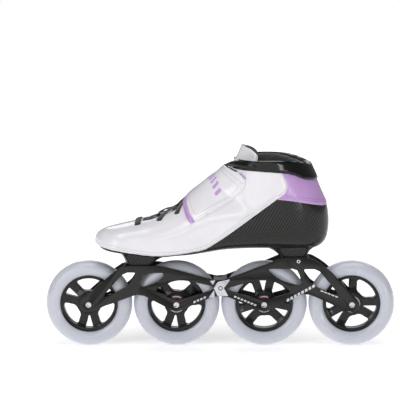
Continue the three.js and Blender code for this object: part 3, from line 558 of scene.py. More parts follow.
def boot_ring(top, bottom, outer, inner, waist, heelward):
    length = np.linalg.norm(bottom - top)
    axis = (bottom - top) / max(length, 1e-6)
    centre = top + axis * length * waist
    share = heelward * heelward * (3 - 2 * heelward)
    sole_power = SOLE_POWERS[0] + (SOLE_POWERS[1] - SOLE_POWERS[0]) * share
    angle = np.linspace(0, 2 * math.pi, 1441)
    c, s = np.cos(angle), np.sin(angle)
    power = np.where(c > 0, 2 / TOP_POWER, 2 / sole_power)
    reach = np.where(c > 0, length * waist, length * (1 - waist))
    width = np.where(s > 0, outer, inner)
    u = np.sign(c) * np.abs(c) ** power * np.maximum(reach, 0.05)
    y = np.sign(s) * np.abs(s) ** power * np.maximum(width, 0.05)
    ring = np.stack([centre[0] - axis[0] * u, BOOT_Y + y, centre[1] - axis[1] * u], 1)
    travelled = np.concatenate([[0], np.cumsum(np.linalg.norm(np.diff(ring, axis=0), axis=1))])
    places = np.linspace(0, travelled[-1], AROUND, endpoint=False)
    points = np.array([np.interp(places, travelled, column) for column in ring.T]).T
    return points, np.where(places < travelled[-1] / 2, places, places - travelled[-1])


rings, around = zip(*(boot_ring(*row) for row in boot_sections()))
skin = np.array(rings)
ROWS = len(skin)
GIRTH = np.array(around).ravel()  # distance round the boot from the instep, positive on the outer side
slope_around = np.roll(skin, -1, axis=1) - np.roll(skin, 1, axis=1)
skin_normal = np.cross(slope_around, np.gradient(skin, axis=0))
skin_normal /= np.maximum(np.linalg.norm(skin_normal, axis=2), 1e-9)[:, :, None]
if skin_normal[ROWS // 3, 0, 2] < 0:
    skin_normal = -skin_normal
skin, skin_normal = skin.reshape(-1, 3), skin_normal.reshape(-1, 3)

# Cloth is laid along the side, round the heel and under the sole.
HEEL_X, HEEL_RADIUS = 85.0, 48.0
past = np.maximum(skin[:, 0] - HEEL_X, 0)
from_middle = np.abs(skin[:, 1] - BOOT_Y)
lay_u = np.minimum(skin[:, 0], HEEL_X) + HEEL_RADIUS * np.arctan2(past, np.maximum(from_middle, 1e-6))
skin_uv = np.stack([lay_u, skin[:, 2] + np.hypot(past, from_middle)], 1)
skin_faces = [tuple(reversed(face)) for face in grid_faces(ROWS, AROUND, wrap=True)]
a, b, c = (skin[skin_faces[ROWS // 3 * AROUND][n]] for n in (0, 1, 2))
if np.cross(b - a, c - b) @ skin_normal[skin_faces[ROWS // 3 * AROUND][0]] < 0:
    skin_faces = [tuple(reversed(face)) for face in skin_faces]
skin_rows = np.hstack([skin, skin_normal, skin_uv])
skin_tree = BVHTree.FromPolygons(skin.tolist(), skin_faces)
SIDE, PLAN = skin[:, [0, 2]], skin[:, [0, 1]]


def skin_hit(origin, direction):
    point, normal, _, _ = skin_tree.ray_cast(Vector(origin), Vector(direction).normalized())
    return np.array(point), np.array(normal) * (-1 if normal.dot(Vector(direction)) > 0 else 1)


def rolled(depth, radius):
    """How far a rolled edge drops at a distance from the edge."""
    inward = np.clip(radius - depth, 0, radius)
    return radius - np.sqrt(radius ** 2 - inward ** 2)


def boot_piece(name, node, field, outside, inside, material, roll, bulge=None):
    """A panel in place of a CAD node: the skin where `field` is positive, between two offsets."""
    bulge = np.zeros(len(field)) if bulge is None else bulge
    rows, faces = clip(np.hstack([skin_rows, field[:, None], bulge[:, None]]), skin_faces, field)
    offset = outside + rows[:, 9] - rolled(rows[:, 8], roll)
    top = rows[:, :3] + rows[:, 3:6] * offset[:, None]
    bottom = rows[:, :3] + rows[:, 3:6] * inside
    points, body_faces, flags = slab(top, bottom, faces)
    uv = np.vstack([rows[:, 6:8], rows[:, 6:8]])
    piece = add_mesh(name, points, body_faces, material, uv=uv, sharp=50, lining=(LINING, flags))
    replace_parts(piece, node)


def seam(field, level, limits=(), lift=1.0):
    """Level lines of a field on the skin, lifted, and kept where every limit is positive."""
    keep = np.ones(len(skin), bool)
    for limit in limits:
        keep &= limit > 0
    kept_faces = [face for face in skin_faces if all(keep[i] for i in face)]
    raised = np.hstack([skin + skin_normal * np.reshape(lift, (-1, 1)), skin_normal])
    return [line for line in level_lines(raised, kept_faces, field, level) if len(line) > 6]


SHELL_SEAM = [
    (-170, 134), (-155, 131.8), (-115, 125.6), (-91, 122.6), (-75, 122), (-59, 123.2), (-37.6, 126.5),
    (-20, 130.5), (-4, 140), (15.3, 153.5), (44.6, 175), (72.6, 196.2)]
HEEL_SEAM = [(72.6, 196.2), (89.5, 194), (108.8, 190), (128, 185.5), (144, 182.5), (160, 180)]
QUARTER_EDGE = [(72.6, 196.2), (80, 201.5), (84, 209.5), (82.6, 217), (78, 229.4)]
BAND_EDGE = [
    (4, 235), (20.8, 232.6), (51, 231.7), (78, 229.4), (92, 226), (104, 220.6), (118, 217), (138, 215), (160, 214)]
COLLAR_EDGE = [(4, 237.4), (16, 241), (40, 241.8), (78, 241.6), (94, 239.2), (113, 233.6), (136, 230), (160, 228)]
THROAT = [
    (-99, 6), (-96, -8), (-60, -10.5), (-20, -14), (8, -19), (26, -28), (70, -28), (70, 34), (24, 36),
    (8, 33), (-20, 29), (-60, 24), (-96, 20)]


def polygon_of(*lines):
    return np.vstack([np.asarray(line, float) for line in lines])


shell_line, heel_line = spline(SHELL_SEAM), spline(HEEL_SEAM)
quarter_line, band_line, collar_line = spline(QUARTER_EDGE), spline(BAND_EDGE), spline(COLLAR_EDGE)
in_shell = inside_by(SIDE, polygon_of(shell_line, heel_line, [(160, 90), (-170, 90)]))
in_upper = inside_by(SIDE, polygon_of(shell_line, quarter_line, band_line[30::-1], [(-170, 240)]))
in_heel = inside_by(SIDE, polygon_of(quarter_line[::-1], heel_line, [(160, 214)], band_line[:29:-1]))
in_band = inside_by(SIDE, polygon_of(band_line, [(160, 228)], collar_line[::-1]))
throat_line = spline(THROAT + THROAT[:1], 6)[:-1]
in_throat = np.where(skin_normal[:, 2] > 0.05, inside_by(PLAN, throat_line), -60.0)
in_throat = np.where(SIDE[:, 1] < 150, -60.0, in_throat)

# ---- Boot panels -------------------------------------------------------------------------------
ankle = np.exp(-(((SIDE[:, 0] - 62) / 26) ** 2 + ((SIDE[:, 1] - 205) / 20) ** 2)) * 1.6
boot_piece("shell_carbon", "carbon_shell", in_shell + 4, -0.1, -2.4, CARBON, 0.3)
boot_piece("upper_leather", "upper", np.minimum(in_upper, -in_throat), 1.7, -2.2, WHITE, 0.9, ankle)
boot_piece("heel_leather", "heel_panel", np.minimum(in_heel + 1.5, -in_throat), 0.7, -2.2, LILAC,
           0.5, ankle)
boot_piece("collar_patent_band", "collar_band", np.minimum(in_band + 1.5, -in_throat), 2.9, -2.6, PATENT,
           1.0)

# ---- Padding round the collar ------------------------------------------------------------------
def puffed(piece, voxel_mm, pressure, cap_mm):
    """Fills a padded piece like a cushion with a short cloth simulation, then smooths it."""
    material = piece.data.materials[0]
    for kind, settings in (("REMESH", {"mode": "VOXEL", "voxel_size": voxel_mm * MM}), ("SMOOTH", {"iterations": 4})):
        modifier = piece.modifiers.new(kind, kind)
        for key, value in settings.items():
            setattr(modifier, key, value)
    bake(piece)
    rest = np.array([v.co for v in piece.data.vertices])
    cloth = piece.modifiers.new("cloth", "CLOTH")
    cloth.settings.quality = 5
    cloth.settings.use_pressure = True
    cloth.settings.uniform_pressure_force = pressure
    cloth.settings.effector_weights.gravity = 0
    for n in range(1, 21):
        bpy.context.scene.frame_set(n)
    graph = bpy.context.evaluated_depsgraph_get()
    moved = np.array([v.co for v in piece.evaluated_get(graph).to_mesh().vertices])
    piece.modifiers.remove(cloth)
    bpy.context.scene.frame_set(1)
    step = moved - rest
    length = np.linalg.norm(step, axis=1)[:, None]
    rest = rest + step * np.minimum(1, cap_mm * MM / np.maximum(length, 1e-9))
    piece.data.vertices.foreach_set("co", rest.ravel())
    divide = piece.modifiers.new("divide", "SUBSURF")
    divide.levels = divide.render_levels = 1
    bake(piece)
    piece.data.materials.clear()
    piece.data.materials.append(material)
    piece.data.polygons.foreach_set("use_smooth", np.ones(len(piece.data.polygons), bool))
    return piece


def bake(piece):
    """Applies the piece's modifiers to its own mesh."""
    bpy.context.view_layer.update()
    graph = bpy.context.evaluated_depsgraph_get()
    mesh = bpy.data.meshes.new_from_object(piece.evaluated_get(graph))
    piece.modifiers.clear()
    piece.data = mesh


PAD_SIDE = [(33, 242.6), (56, 243.6), (78, 243), (94, 240.6), (118, 232.4), (118, 205), (60, 201), (44, 212)]
pad_line = spline(PAD_SIDE + PAD_SIDE[:1], 6)[:-1]
in_pad = inside_by(SIDE, pad_line) - 0.6
in_pad = np.minimum(in_pad, -in_throat - 1.5)
rows, faces = clip(np.hstack([skin_rows, in_pad[:, None]]), skin_faces, in_pad)
edge_drop = rolled(rows[:, 8], 2.4)[:, None]
pad_top = rows[:, :3] + rows[:, 3:6] * (-3.2 - edge_drop * 0.7)
pad_bottom = rows[:, :3] + rows[:, 3:6] * (-11.4 + edge_drop * 0.7)
pad_points, pad_faces, _ = slab(pad_top, pad_bottom, faces)
padding = puffed(add_mesh("collar_padding_roll", pad_points, pad_faces, PAD_CLOTH), 2.6, 4.0, 1.2)
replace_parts(padding, "collar_padding")

# ---- Insole ------------------------------------------------------------------------------------
INSOLE_TOP = [(-140, 130), (-100, 124.6), (-75, 123.4), (-35, 126.4), (10, 132.6), (40, 134.5), (120, 134.5)]
footbed_line = spline(INSOLE_TOP)
insole_rows = []
for x in np.linspace(-132, 122, 86):
    z = np.interp(x, footbed_line[:, 0], footbed_line[:, 1]) - 1.2
    sides = [skin_hit((x, BOOT_Y, z + 1), (0, way, 0))[0][1] for way in (-1, 1)]
    low, high = sides[0] + 3.4, sides[1] - 3.4
    for t in np.linspace(-1, 1, 25):
        insole_rows.append((x, (low + high) / 2 + t * (high - low) / 2, z + 1.6 * abs(t) ** 5))
insole_top = np.array(insole_rows)
points, faces, _ = slab(insole_top, insole_top - (0, 0, 2.2), [tuple(reversed(f)) for f in grid_faces(86, 25)])
insole = add_mesh("insole_bed", points, faces, FOOTBED)
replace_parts(insole, "insole")

# ---- Tongue ------------------------------------------------------------------------------------
# Stations along the middle line: X, Z, half-width, curl of the edges.
TONGUE = [
    (-96, 154, 17, 3), (-70, 163, 22, 6), (-45, 178.5, 27, 10), (-22, 199, 30, 14), (-3, 215, 30, 17),
    (11, 228.5, 29.5, 19), (20, 242, 28.5, 21), (24.5, 251, 27, 22), (26.5, 256, 24, 18), (27.4, 258.4, 17, 9)]
TONGUE_Y = 5.0
stations = spline(TONGUE, 8)
middle = np.stack([stations[:, 0], np.full(len(stations), TONGUE_Y), stations[:, 1]], 1)
lie = np.gradient(middle, axis=0)
lie /= np.linalg.norm(lie, axis=1)[:, None]
face_out = np.stack([-lie[:, 2], np.zeros(len(lie)), lie[:, 0]], 1)
across = np.linspace(-1, 1, 33)
front, back = [], []
for centre, out, (_, _, half, curl) in zip(middle, face_out, stations):
    for t in across:
        point = centre + (0, t * half, 0) - out * curl * t * t
        puff = 0.9 * (1 - t ** 4)
        front.append(point + out * (puff - 0.4))
        back.append(point - out * (2.6 + puff))
tongue_faces = grid_faces(len(stations), len(across))
points, faces, flags = slab(np.array(front), np.array(back), tongue_faces)
tongue = add_mesh("tongue_padded", points, faces, WHITE, sharp=70, lining=(TONGUE_MESH, flags))
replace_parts(tongue, "tongue")

# ---- Instep strap ------------------------------------------------------------------------------
def softened(outline, radius, steps=6):
    """A closed outline with its corners rounded from `radius` away."""
    line, out = np.asarray(outline, float), []
    for before, corner, after in zip(np.roll(line, 1, axis=0), line, np.roll(line, -1, axis=0)):
        start = corner + (before - corner) * min(radius / np.linalg.norm(before - corner), 0.45)
        end = corner + (after - corner) * min(radius / np.linalg.norm(after - corner), 0.45)
        t = np.linspace(0, 1, steps)[:, None]
        out.append(start * (1 - t) ** 2 + corner * 2 * t * (1 - t) + end * t * t)
    return np.vstack(out)


UNROLLED = np.stack([skin[:, 0], GIRTH], 1)
BINDING = 5.0
# The strap's edges on the unrolled boot: X and girth.
STRAP_FRONT = [
    (-14, 45.5), (-24, 30.5), (-33, 17.5), (-40.5, 4), (-44, -9), (-45, -22), (-43.5, -34), (-40.5, -45),
    (-35.5, -56)]
STRAP_BACK = [(36, -61), (27, -47), (18, -34), (11, -20), (8, -6), (8, 8), (9, 24), (10, 40), (6, 54)]
front_line = spline(STRAP_FRONT)
strap_outline = softened(polygon_of(front_line[::6], STRAP_BACK), 7)
strap_field = inside_by(UNROLLED, strap_outline)
beyond = [(-14, 120), (90, 120), (90, -140), (front_line[-1, 0] + 9, -140)]
from_front = inside_by(UNROLLED, polygon_of(front_line, [front_line[-1] + (5, -30)], beyond[::-1]))
boot_piece("instep_strap_leather", "instep_strap", np.minimum(strap_field, from_front - BINDING + 0.6), 4.0, 1.4,
           WHITE, 1.2)
boot_piece("strap_binding_edge", "strap_binding", np.minimum(strap_field, BINDING - from_front), 4.5, 1.3,
           LILAC, 1.5)

# ---- Seams and stitching -----------------------------------------------------------------------
clear_of_strap = -strap_field - 1.0
clear_of_throat = -in_throat - 2.0
above_shell = inside_by(SIDE, polygon_of(shell_line, heel_line, [(160, 400), (-170, 400)]))
pale, lilac = [], []
for inset in (2.4, 5.0):
    pale += seam(above_shell, inset, (in_upper + 1, clear_of_strap), 1.75 + ankle)
for inset in (2.2, 4.8):
    lilac += seam(above_shell, inset, (in_heel + 1,), 0.75 + ankle)
pale += seam(in_throat, -3.0, (in_upper - 1.5, clear_of_strap), 1.75)
before_quarter = inside_by(SIDE, polygon_of([(64, 190)], quarter_line, [(72, 260), (-170, 260), (-170, 190)]))
pale += seam(before_quarter, 2.6, (in_upper + 1, SIDE[:, 0] - 60, SIDE[:, 1] - 198), 1.75 + ankle)
strap_limits = (strap_field - 2.0, from_front - BINDING - 0.8)
for inset in (2.8, 5.6):
    pale += seam(np.minimum(strap_field, from_front - BINDING + 2.0), inset, strap_limits, 4.05)
for name, lines, thread in (("stitching_pale", pale, PALE_THREAD), ("stitching_lilac", lilac, LILAC_THREAD)):
    add_parts(name, stitch_parts(lines), thread, "white_leather")

# Piping runs along the strap's rear edge, lilac down the inner side; over the instep a dark tube that is partly
# piping and partly painted shade for the shadow under the strap's edge.
before_strap_back = polygon_of([(-14, 90)], STRAP_BACK[::-1], [(36, -140), (-200, -140), (-200, 90)])
in_front = inside_by(UNROLLED, before_strap_back)
PIPING_CHANGE_Z = 227
over_top = np.where(GIRTH < 0, SIDE[:, 1] - PIPING_CHANGE_Z, 58 - GIRTH)
for name, radius, limit, material, slot_name in (
        ("strap_rear_piping_and_shade", 1.3, over_top, PATENT, "black_patent"),
        ("strap_rear_trim", 0.9, np.minimum(-over_top, 58 + GIRTH), LILAC, "lilac_leather")):
    lines = seam(in_front, 0.0, (strap_field + 3, limit), 2.2 if material is PATENT else 3.4)
    add_parts(name, [tube(along(line, 2.0)[:, :3], radius) for line in lines], material, slot_name)

# The collar's front ends taper forward beside the tongue, the inner one as far as the strap.
FRONT_ROLL = [(46, 236.6), (34, 237), (25, 237.3), (17, 235.8), (9.5, 231.5), (5, 227.5)]
parts = []
for way, stop in ((1, 5), (-1, 19)):
    path, normals = [], []
    for x, z in spline(FRONT_ROLL, 6):
        if x >= stop:
            point, normal = skin_hit((x, way * -250, z), (0, way, 0))
            path.append(point + normal * 2.3)
            normals.append(normal)
    thickness = np.interp(np.linspace(0, 1, len(path)), [0, 0.12, 0.4, 0.8, 1], [2.6, 4.6, 4.7, 2.8, 1.3])
    parts.append(tube(path, thickness, 14, 0.62, np.array(normals)))
add_parts("collar_front_rolls", parts, PATENT, "black_patent", sharp=60)

# ---- Laces -------------------------------------------------------------------------------------
LACE_HALF, LACE_THICK, LACE_LIFT = 4.0, 0.95, 2.7
EYELETS = [(-103, 30, -18), (-77, 32, -22), (-54, 36, -24), (-35, 39, -26)]


def ribbon(path, normals, half_width, thickness, sides=14):
    points, faces = tube(path, half_width, sides, thickness / half_width, normals)
    travelled = np.concatenate([[0], np.cumsum(np.linalg.norm(np.diff(path, axis=0), axis=1))])
    turn = 2 * math.pi * (np.arange(sides) + 0.5) / sides
    uv = np.array([(math.cos(a), length) for length in travelled for a in turn])
    return points, faces, uv


def over_boot(start, end, arch, lift=LACE_LIFT, dips=(3.2, 3.2)):
    """A lace strand between two places seen from above; its ends sink into the eyelets."""
    path, normals = [], []
    for t in np.linspace(-0.03, 1.03, 26):
        x, y = (a + (b - a) * t for a, b in zip(start, end))
        point, normal = skin_hit((x, y, 330), (0, 0, -1))
        sink = dips[0] * math.exp(-((t + 0.03) / 0.045) ** 2) + dips[1] * math.exp(-((1.03 - t) / 0.045) ** 2)
        path.append(point + normal * (lift + arch * math.sin(math.pi * min(max(t, 0), 1)) - sink))
        normals.append(normal)
    return ribbon(np.array(path), np.array(normals), LACE_HALF, LACE_THICK)


FLAP_EDGE = [(-96, 18.5, -6.5), (-79, 21, -8), (-58, 23, -9.5), (-38, 25.5, -11)]
strands = [over_boot(EYELETS[0][:2], (EYELETS[0][0] - 1, EYELETS[0][2]), 0.3)]
strands.append(over_boot(FLAP_EDGE[0][:2], (FLAP_EDGE[1][0], FLAP_EDGE[1][2]), -1.6, 0.9, (4.2, 4.2)))
strands.append(over_boot((FLAP_EDGE[0][0], FLAP_EDGE[0][2]), FLAP_EDGE[1][:2], 0.2, 0.9, (4.2, 4.2)))
for (x0, outer0, inner0), (x1, outer1, inner1) in zip(EYELETS[1:], FLAP_EDGE[2:] + [(-33, 26, -13)]):
    strands.append(over_boot((x0, inner0), (x1 + 3, outer1), -0.6, dips=(3.2, 5.0)))
    strands.append(over_boot((x0, outer0), (x1 + 3, inner1), 1.4 if x0 < -60 else 0.4, dips=(3.2, 5.0)))
add_parts("laces_flat", [strand[:2] for strand in strands], LACE, "lace_cloth", "lace",
          uv=np.vstack([strand[2] for strand in strands]), sharp=60)

# ---- Printed bars -------------------------------------------------------------------------------
def printed_bar(centre, along_way, up_way, length, height, probe, lift, columns=7, lean=0.5):
    """A slanted bar laid on the skin; the two ways are in the plane that `probe` looks through."""
    centre, along_way, up_way = (np.asarray(v, float) for v in (centre, along_way, up_way))
    top = []
    for v in (0, 1):
        for u in np.linspace(0, 1, columns):
            place = centre + along_way * (u * length + lean * v * height) + up_way * v * height
            point, normal = skin_hit(place - np.asarray(probe, float) * 250, probe)
            top.append(point + normal * lift)
    points = np.array(top)
    thin = np.asarray(probe, float) * 0.18
    faces = grid_faces(2, columns)
    a, b, c = (points[faces[0][n]] for n in (0, 1, 2))
    if np.cross(b - a, c - b) @ np.asarray(probe, float) > 0:
        faces = [tuple(reversed(face)) for face in faces]
    points, faces, _ = slab(points - thin, points + thin * 0.5, faces)
    return points, faces


strap_bars, toe_bars = [], []
for n in range(9):
    t = n / 8
    x, y = -20 + 12 * t + 8 * (t - 0.5) ** 2, 26 - 56 * t
    strap_bars.append(printed_bar((x, y, 0), (0.93, 0.36, 0), (0.1, -0.99, 0), 7.5, 3.6, (0, 0, -1), 4.12, 5))
for n in range(9):
    x, z = -78 + 6.2 * n, 143 + 1.5 * n
    toe_bars.append(printed_bar((x, 0, z), (0.97, 0, 0.24), (-0.2, 0, 0.98), 4.4, 5.2, (0, -1, 0), 1.85))
add_parts("printed_bars", strap_bars + toe_bars, PRINT, "lilac_leather")

# ---- Wheels ------------------------------------------------------------------------------------
TYRE_HALF = [
    (36.75, 8.5), (37.5, 9.5), (39.3, 10.7), (42, 11.6), (45, 12.0), (48, 11.4), (50.6, 9.8), (52.8, 7.3),
    (54.3, 4.1), (55, 0)]
HUB_RADIUS, CORE_RADIUS = 13.6, 36.6
BEARING_FACE, BEARING_WIDTH = 4.9, 7.0
CORE_TURNS = [90, 85, 33, 45]


def circle(radius):
    return lambda angle: radius


def hexagon(across_flats):
    return lambda angle: across_flats / 2 / math.cos((angle + math.pi / 6) % (math.pi / 3) - math.pi / 6)


def turned_rings(rings, centre, segments=48):
    """A body from rings of (outline function, y); both ends close at their middle."""
    angles = np.arange(segments) * 2 * math.pi / segments
    points = [(f(a) * math.cos(a), y, f(a) * math.sin(a)) for f, y in rings for a in angles]
    return np.array(points) + np.asarray(centre, float), grid_faces(len(rings), segments, wrap=True, capped=True)


def tyre_mesh(centre):
    half = spline(TYRE_HALF, 4)
    outline = np.vstack([half, (half * (1, -1))[-2::-1]])
    return lathe(outline, 128, centre)


def core_mesh(turn, centre):
    """The spoked disc: a polar sheet cut by wide and narrow windows with rolled edges."""
    radii = np.concatenate([np.linspace(12.2, 16.5, 7), np.linspace(17.2, 31.4, 13), np.linspace(32, CORE_RADIUS, 7)])
    count = 216
    angles = np.arange(count) * 2 * math.pi / count
    r, a = (grid.ravel() for grid in np.meshgrid(radii, angles, indexing="ij"))
    solid = np.full(len(r), 20.0)
    for n in range(3):
        for start, half_in, half_out, offset, corner in (
                (16.0, 0.40, 0.58, 0.0, 4.6), (15.5, 0.06, 0.165, math.pi / 3, 1.2)):
            middle = turn + offset + n * 2 * math.pi / 3
            swing = np.abs((a - middle + math.pi) % (2 * math.pi) - math.pi)
            half = half_in + (half_out - half_in) * (r - start) / (32.2 - start)
            aside, radial = (half - swing) * r, np.minimum(r - start, 32.2 - r)
            rounded = corner - np.hypot(np.maximum(corner - aside, 0), np.maximum(corner - radial, 0))
            window = np.where((aside < corner) & (radial < corner), rounded, np.minimum(aside, radial))
            solid = np.minimum(solid, -window)
    waist = np.sin(np.clip((r - 15) / 17.5, 0, 1) * math.pi)
    height = 7.0 - 2.6 * waist
    rows = np.stack([r * np.cos(a), height, r * np.sin(a), solid], 1)
    rows, faces = clip(rows, grid_faces(len(radii), count, wrap=True), solid)
    height = rows[:, 1] - rolled(np.maximum(rows[:, 3], 0), 1.3)
    top = np.stack([rows[:, 0], height, rows[:, 2]], 1)
    points, faces, _ = slab(top, top * (1, -1, 1), faces)
    return points + centre, faces


for n, (x, turn) in enumerate(zip(AXLES, CORE_TURNS), 1):
    centre, body = (x, 0, AXLE_HEIGHT), f"wheel_{n}"
    add_parts(f"wheel_{n}_tyre", [tyre_mesh(centre)], URETHANE, "urethane", f"tyre_{n}", body=body, sharp=60)
    lip = [(34.6, 7.6), (35.2, 8.1), (36.4, 8.2), (36.7, 7.8), (36.7, 6.4), (34.4, 6.4)]
    hub = [(HUB_RADIUS, 6.4), (HUB_RADIUS, 11.2), (12.9, 11.85), (11.5, 11.85), (11.2, 11.5), (11.2, 6.4)]
    parts = [core_mesh(math.radians(turn), centre)]
    for outline in (lip, hub):
        parts.append(lathe(outline, 96, centre))
        parts.append(lathe([(r, -y) for r, y in outline[::-1]], 96, centre))
    parts.append(lathe([(12.4, -6.6), (12.4, 6.6), (9.6, 4.7), (9.6, -4.7)], 48, centre))
    add_parts(f"wheel_{n}_core", parts, CORE, "core_nylon", f"core_{n}", body=body, sharp=40)
    for side, label in ((1, "outer"), (-1, "inner")):
        near, far = BEARING_FACE * side, (BEARING_FACE + BEARING_WIDTH) * side
        soft = 0.35 * side
        races = [[(9.2, near), (11, near), (11, far - soft), (10.7, far), (9.4, far), (9.2, far - soft)],
                 [(4.2, near), (6.1, near), (6.1, far - soft), (5.9, far), (4.5, far), (4.2, far - soft)]]
        seal = [
            (6.1, near + soft), (9.2, near + soft), (9.2, far - 2 * soft), (7.6, far - soft), (6.1, far - 2 * soft)]
        parts = [lathe(outline if side > 0 else outline[::-1], 64, centre) for outline in races + [seal]]
        is_seal = [0] * (len(parts[0][1]) + len(parts[1][1])) + [1] * len(parts[2][1])
        add_parts(f"wheel_{n}_bearing_{label}", parts, RACE, "bearing", f"bearing_{n}_{label}_side", body=body,
                  lining=(SEAL, is_seal))
    axle_rings = [
        (hexagon(4.6), -14.6), (hexagon(4.6), -17.1), (circle(2.9), -17.35), (circle(3.5), -17.35),
        (circle(4.0), -16.8), (circle(4.0), 14.4), (circle(5.9), 14.4), (circle(5.9), 16.9),
        (circle(5.4), 17.4), (circle(3.2), 17.4), (hexagon(5.0), 17.1), (hexagon(5.0), 14.9)]
    add_parts(f"axle_{n}_bolt", [turned_rings(axle_rings, centre)], STEEL, "steel", f"axle_{n}", sharp=30)

# ---- Mount blocks ------------------------------------------------------------------------------
def flare(foot, crown, foot_z, corner=4.0, steps=9):
    """A block that flares from its foot to the boot's skin; both outlines are X low, X high and half-width."""

    def outline(low, high, half):
        box = [(low, -half), (high, -half), (high, half), (low, half)]
        return along(np.pad(softened(box, corner * half / 12), ((0, 0), (0, 1))), 1.7)[:, :2]

    below, above = outline(*foot), outline(*crown)
    angles = np.linspace(0, 2 * math.pi, 96, endpoint=False)

    def at(line, angle):
        centre = (line.min(axis=0) + line.max(axis=0)) / 2
        bearing = np.unwrap(np.arctan2(line[:, 1] - centre[1], line[:, 0] - centre[0]))
        order = np.argsort(bearing % (2 * math.pi))
        turn = (bearing % (2 * math.pi))[order]
        radius = np.hypot(*(line[order] - centre).T)
        r = np.interp(angle, np.concatenate([turn - 2 * math.pi, turn, turn + 2 * math.pi]), np.tile(radius, 3))
        return centre + r * np.array((math.cos(angle), math.sin(angle)))

    rings = []
    for angle in angles:
        (x0, y0), (x1, y1) = at(below, angle), at(above, angle)
        top, _ = skin_hit((x1, y1, 60), (0, 0, 1))
        rise = top[2] + 0.9 - foot_z
        start, end = np.array((x0, y0, foot_z)), np.array((x1, y1, foot_z + rise))
        middle = np.array((x0 + 0.3 * (x1 - x0), y0 + 0.3 * (y1 - y0), foot_z + 0.7 * rise))
        t = np.linspace(0, 1, steps)[:, None]
        rings.append(start * (1 - t) ** 2 + middle * 2 * t * (1 - t) + end * t * t)
    points = np.array(rings).transpose(1, 0, 2).reshape(-1, 3)
    faces = grid_faces(steps, len(angles), wrap=True, capped=True)
    return points, [tuple(reversed(face)) for face in faces]


for name, foot, crown, foot_z in (
        ("front_mount", (-116.7, -87.5, 15), (-127, -69, 21), 104.3),
        ("rear_mount", (80, 108.6, 15), (60, 124, 24), 114.3)):
    points, faces = flare(foot, crown, foot_z)
    add_parts(f"{name}_flare", [(points, faces)], CARBON, "carbon", f"{name}_block",
              uv=points[:, [0, 2]] + points[:, [1, 1]] * (0.3, 0), sharp=50)

# ---- Frame details -----------------------------------------------------------------------------
RAIL_FACE = 17.5


def plate_on_rail(outline, thickness):
    """A thin plate on the inner-side rail from a side-view outline with X and Z."""
    line = np.asarray(outline, float)
    middle = line.mean(axis=0)
    levels = [(0.0, 1.0), (thickness * 0.7, 1.0), (thickness, 0.965)]
    points = [(*(middle + (p - middle) * s), -RAIL_FACE - h) for h, s in levels for p in line]
    return np.array(points)[:, [0, 2, 1]], grid_faces(len(levels), len(line), wrap=True, capped=True)


def slanted_bar(x, z, length, height, angle, lean=0.35):
    """A parallelogram bar, turned by `angle` degrees in the side view."""
    c, s = math.cos(math.radians(angle)), math.sin(math.radians(angle))
    corners = [(0, 0), (length, 0), (length + lean * height, height), (lean * height, height)]
    return [(x + u * c - v * s, z + u * s + v * c) for u, v in corners]


BADGE = [(-3.2, 84.6), (11.6, 88.6), (12.4, 87.2), (4.6, 77), (10.2, 66.9), (8.6, 66.6), (-3.4, 67), (-8.2, 77)]
bars = [slanted_bar(-34 + 4.3 * i, 57.3 + 1.9 * i, 3.2, 2.3, 24) for i in range(4)]
bars += [slanted_bar(17 + 4.2 * i, 65.4 - 1.75 * i, 3.1, 2.3, -23) for i in range(7)]
bars += [slanted_bar(85 + 4.6 * i, 58.9 + 2.55 * i, 3.6, 3.4, 29) for i in range(8)]
bars += [slanted_bar(127 + 4.6 * i, 73.2 - 1.8 * i, 4.0, 1.6, -22) for i in range(5)]
parts = [plate_on_rail(outline, 0.3) for outline in bars]
BADGE_CORNERS = [[(-13.1, 86.4), (-6.1, 87.3), (-9.2, 81.2)], [(-14.8, 64.6), (-7.3, 65.2), (-7.6, 74.8)]]
parts += [plate_on_rail(outline, 0.45) for outline in [BADGE, *BADGE_CORNERS]]
add_parts("frame_badge", parts, SILVER_FOIL, "steel")
ring_profile = [(r, -RAIL_FACE - h) for r, h in ((1.9, 0.15), (2.9, 0.15), (2.9, 0.75), (1.9, 0.75))]
add_parts("frame_badge_ring", [lathe(ring_profile, 36, (0.4, 0, 76.9))], BLOCK, "block")
screw_rings = [
    (circle(2.5), -RAIL_FACE + 0.4), (circle(2.5), -RAIL_FACE - 0.7), (circle(2.1), -RAIL_FACE - 1.1),
    (hexagon(2.4), -RAIL_FACE - 1.1), (hexagon(2.4), -RAIL_FACE + 0.1)]
add_parts("frame_screw_near", [turned_rings(screw_rings, (99.4, 0, 111.5))], STEEL, "steel", sharp=30)

# ---- Buckle details ----------------------------------------------------------------------------
# Local ways: along the strap towards the heel, down the boot, and out from the boot.
BUCKLE_WAYS = [np.array(JOINTS["ladder_slide"]["axis"]), -np.array(JOINTS["lever_lift"]["axis"])]
BUCKLE_WAYS.append(np.cross(*BUCKLE_WAYS))
PIVOT_ALONG, PIVOT_OUT = 7, 8
BUCKLE_SEAT = (np.array(JOINTS["lever_lift"]["pos_m"]) / MM - (0, WHEEL_PLANE, 0)
               - PIVOT_ALONG * BUCKLE_WAYS[0] - PIVOT_OUT * BUCKLE_WAYS[2])


def rib(outline, half_width, chamfer=0.3):
    """A bar across the buckle from an outline of places along it and out from it."""
    line = np.asarray(outline, float)
    middle = line.mean(axis=0)
    levels = [(-half_width, 0.8), (-half_width + chamfer, 1), (half_width - chamfer, 1), (half_width, 0.8)]
    points = [(*(middle + (p - middle) * s), v) for v, s in levels for p in line]
    points = BUCKLE_SEAT + np.array(points)[:, [0, 2, 1]] @ np.array(BUCKLE_WAYS)
    return points, grid_faces(len(levels), len(line), wrap=True, capped=True)


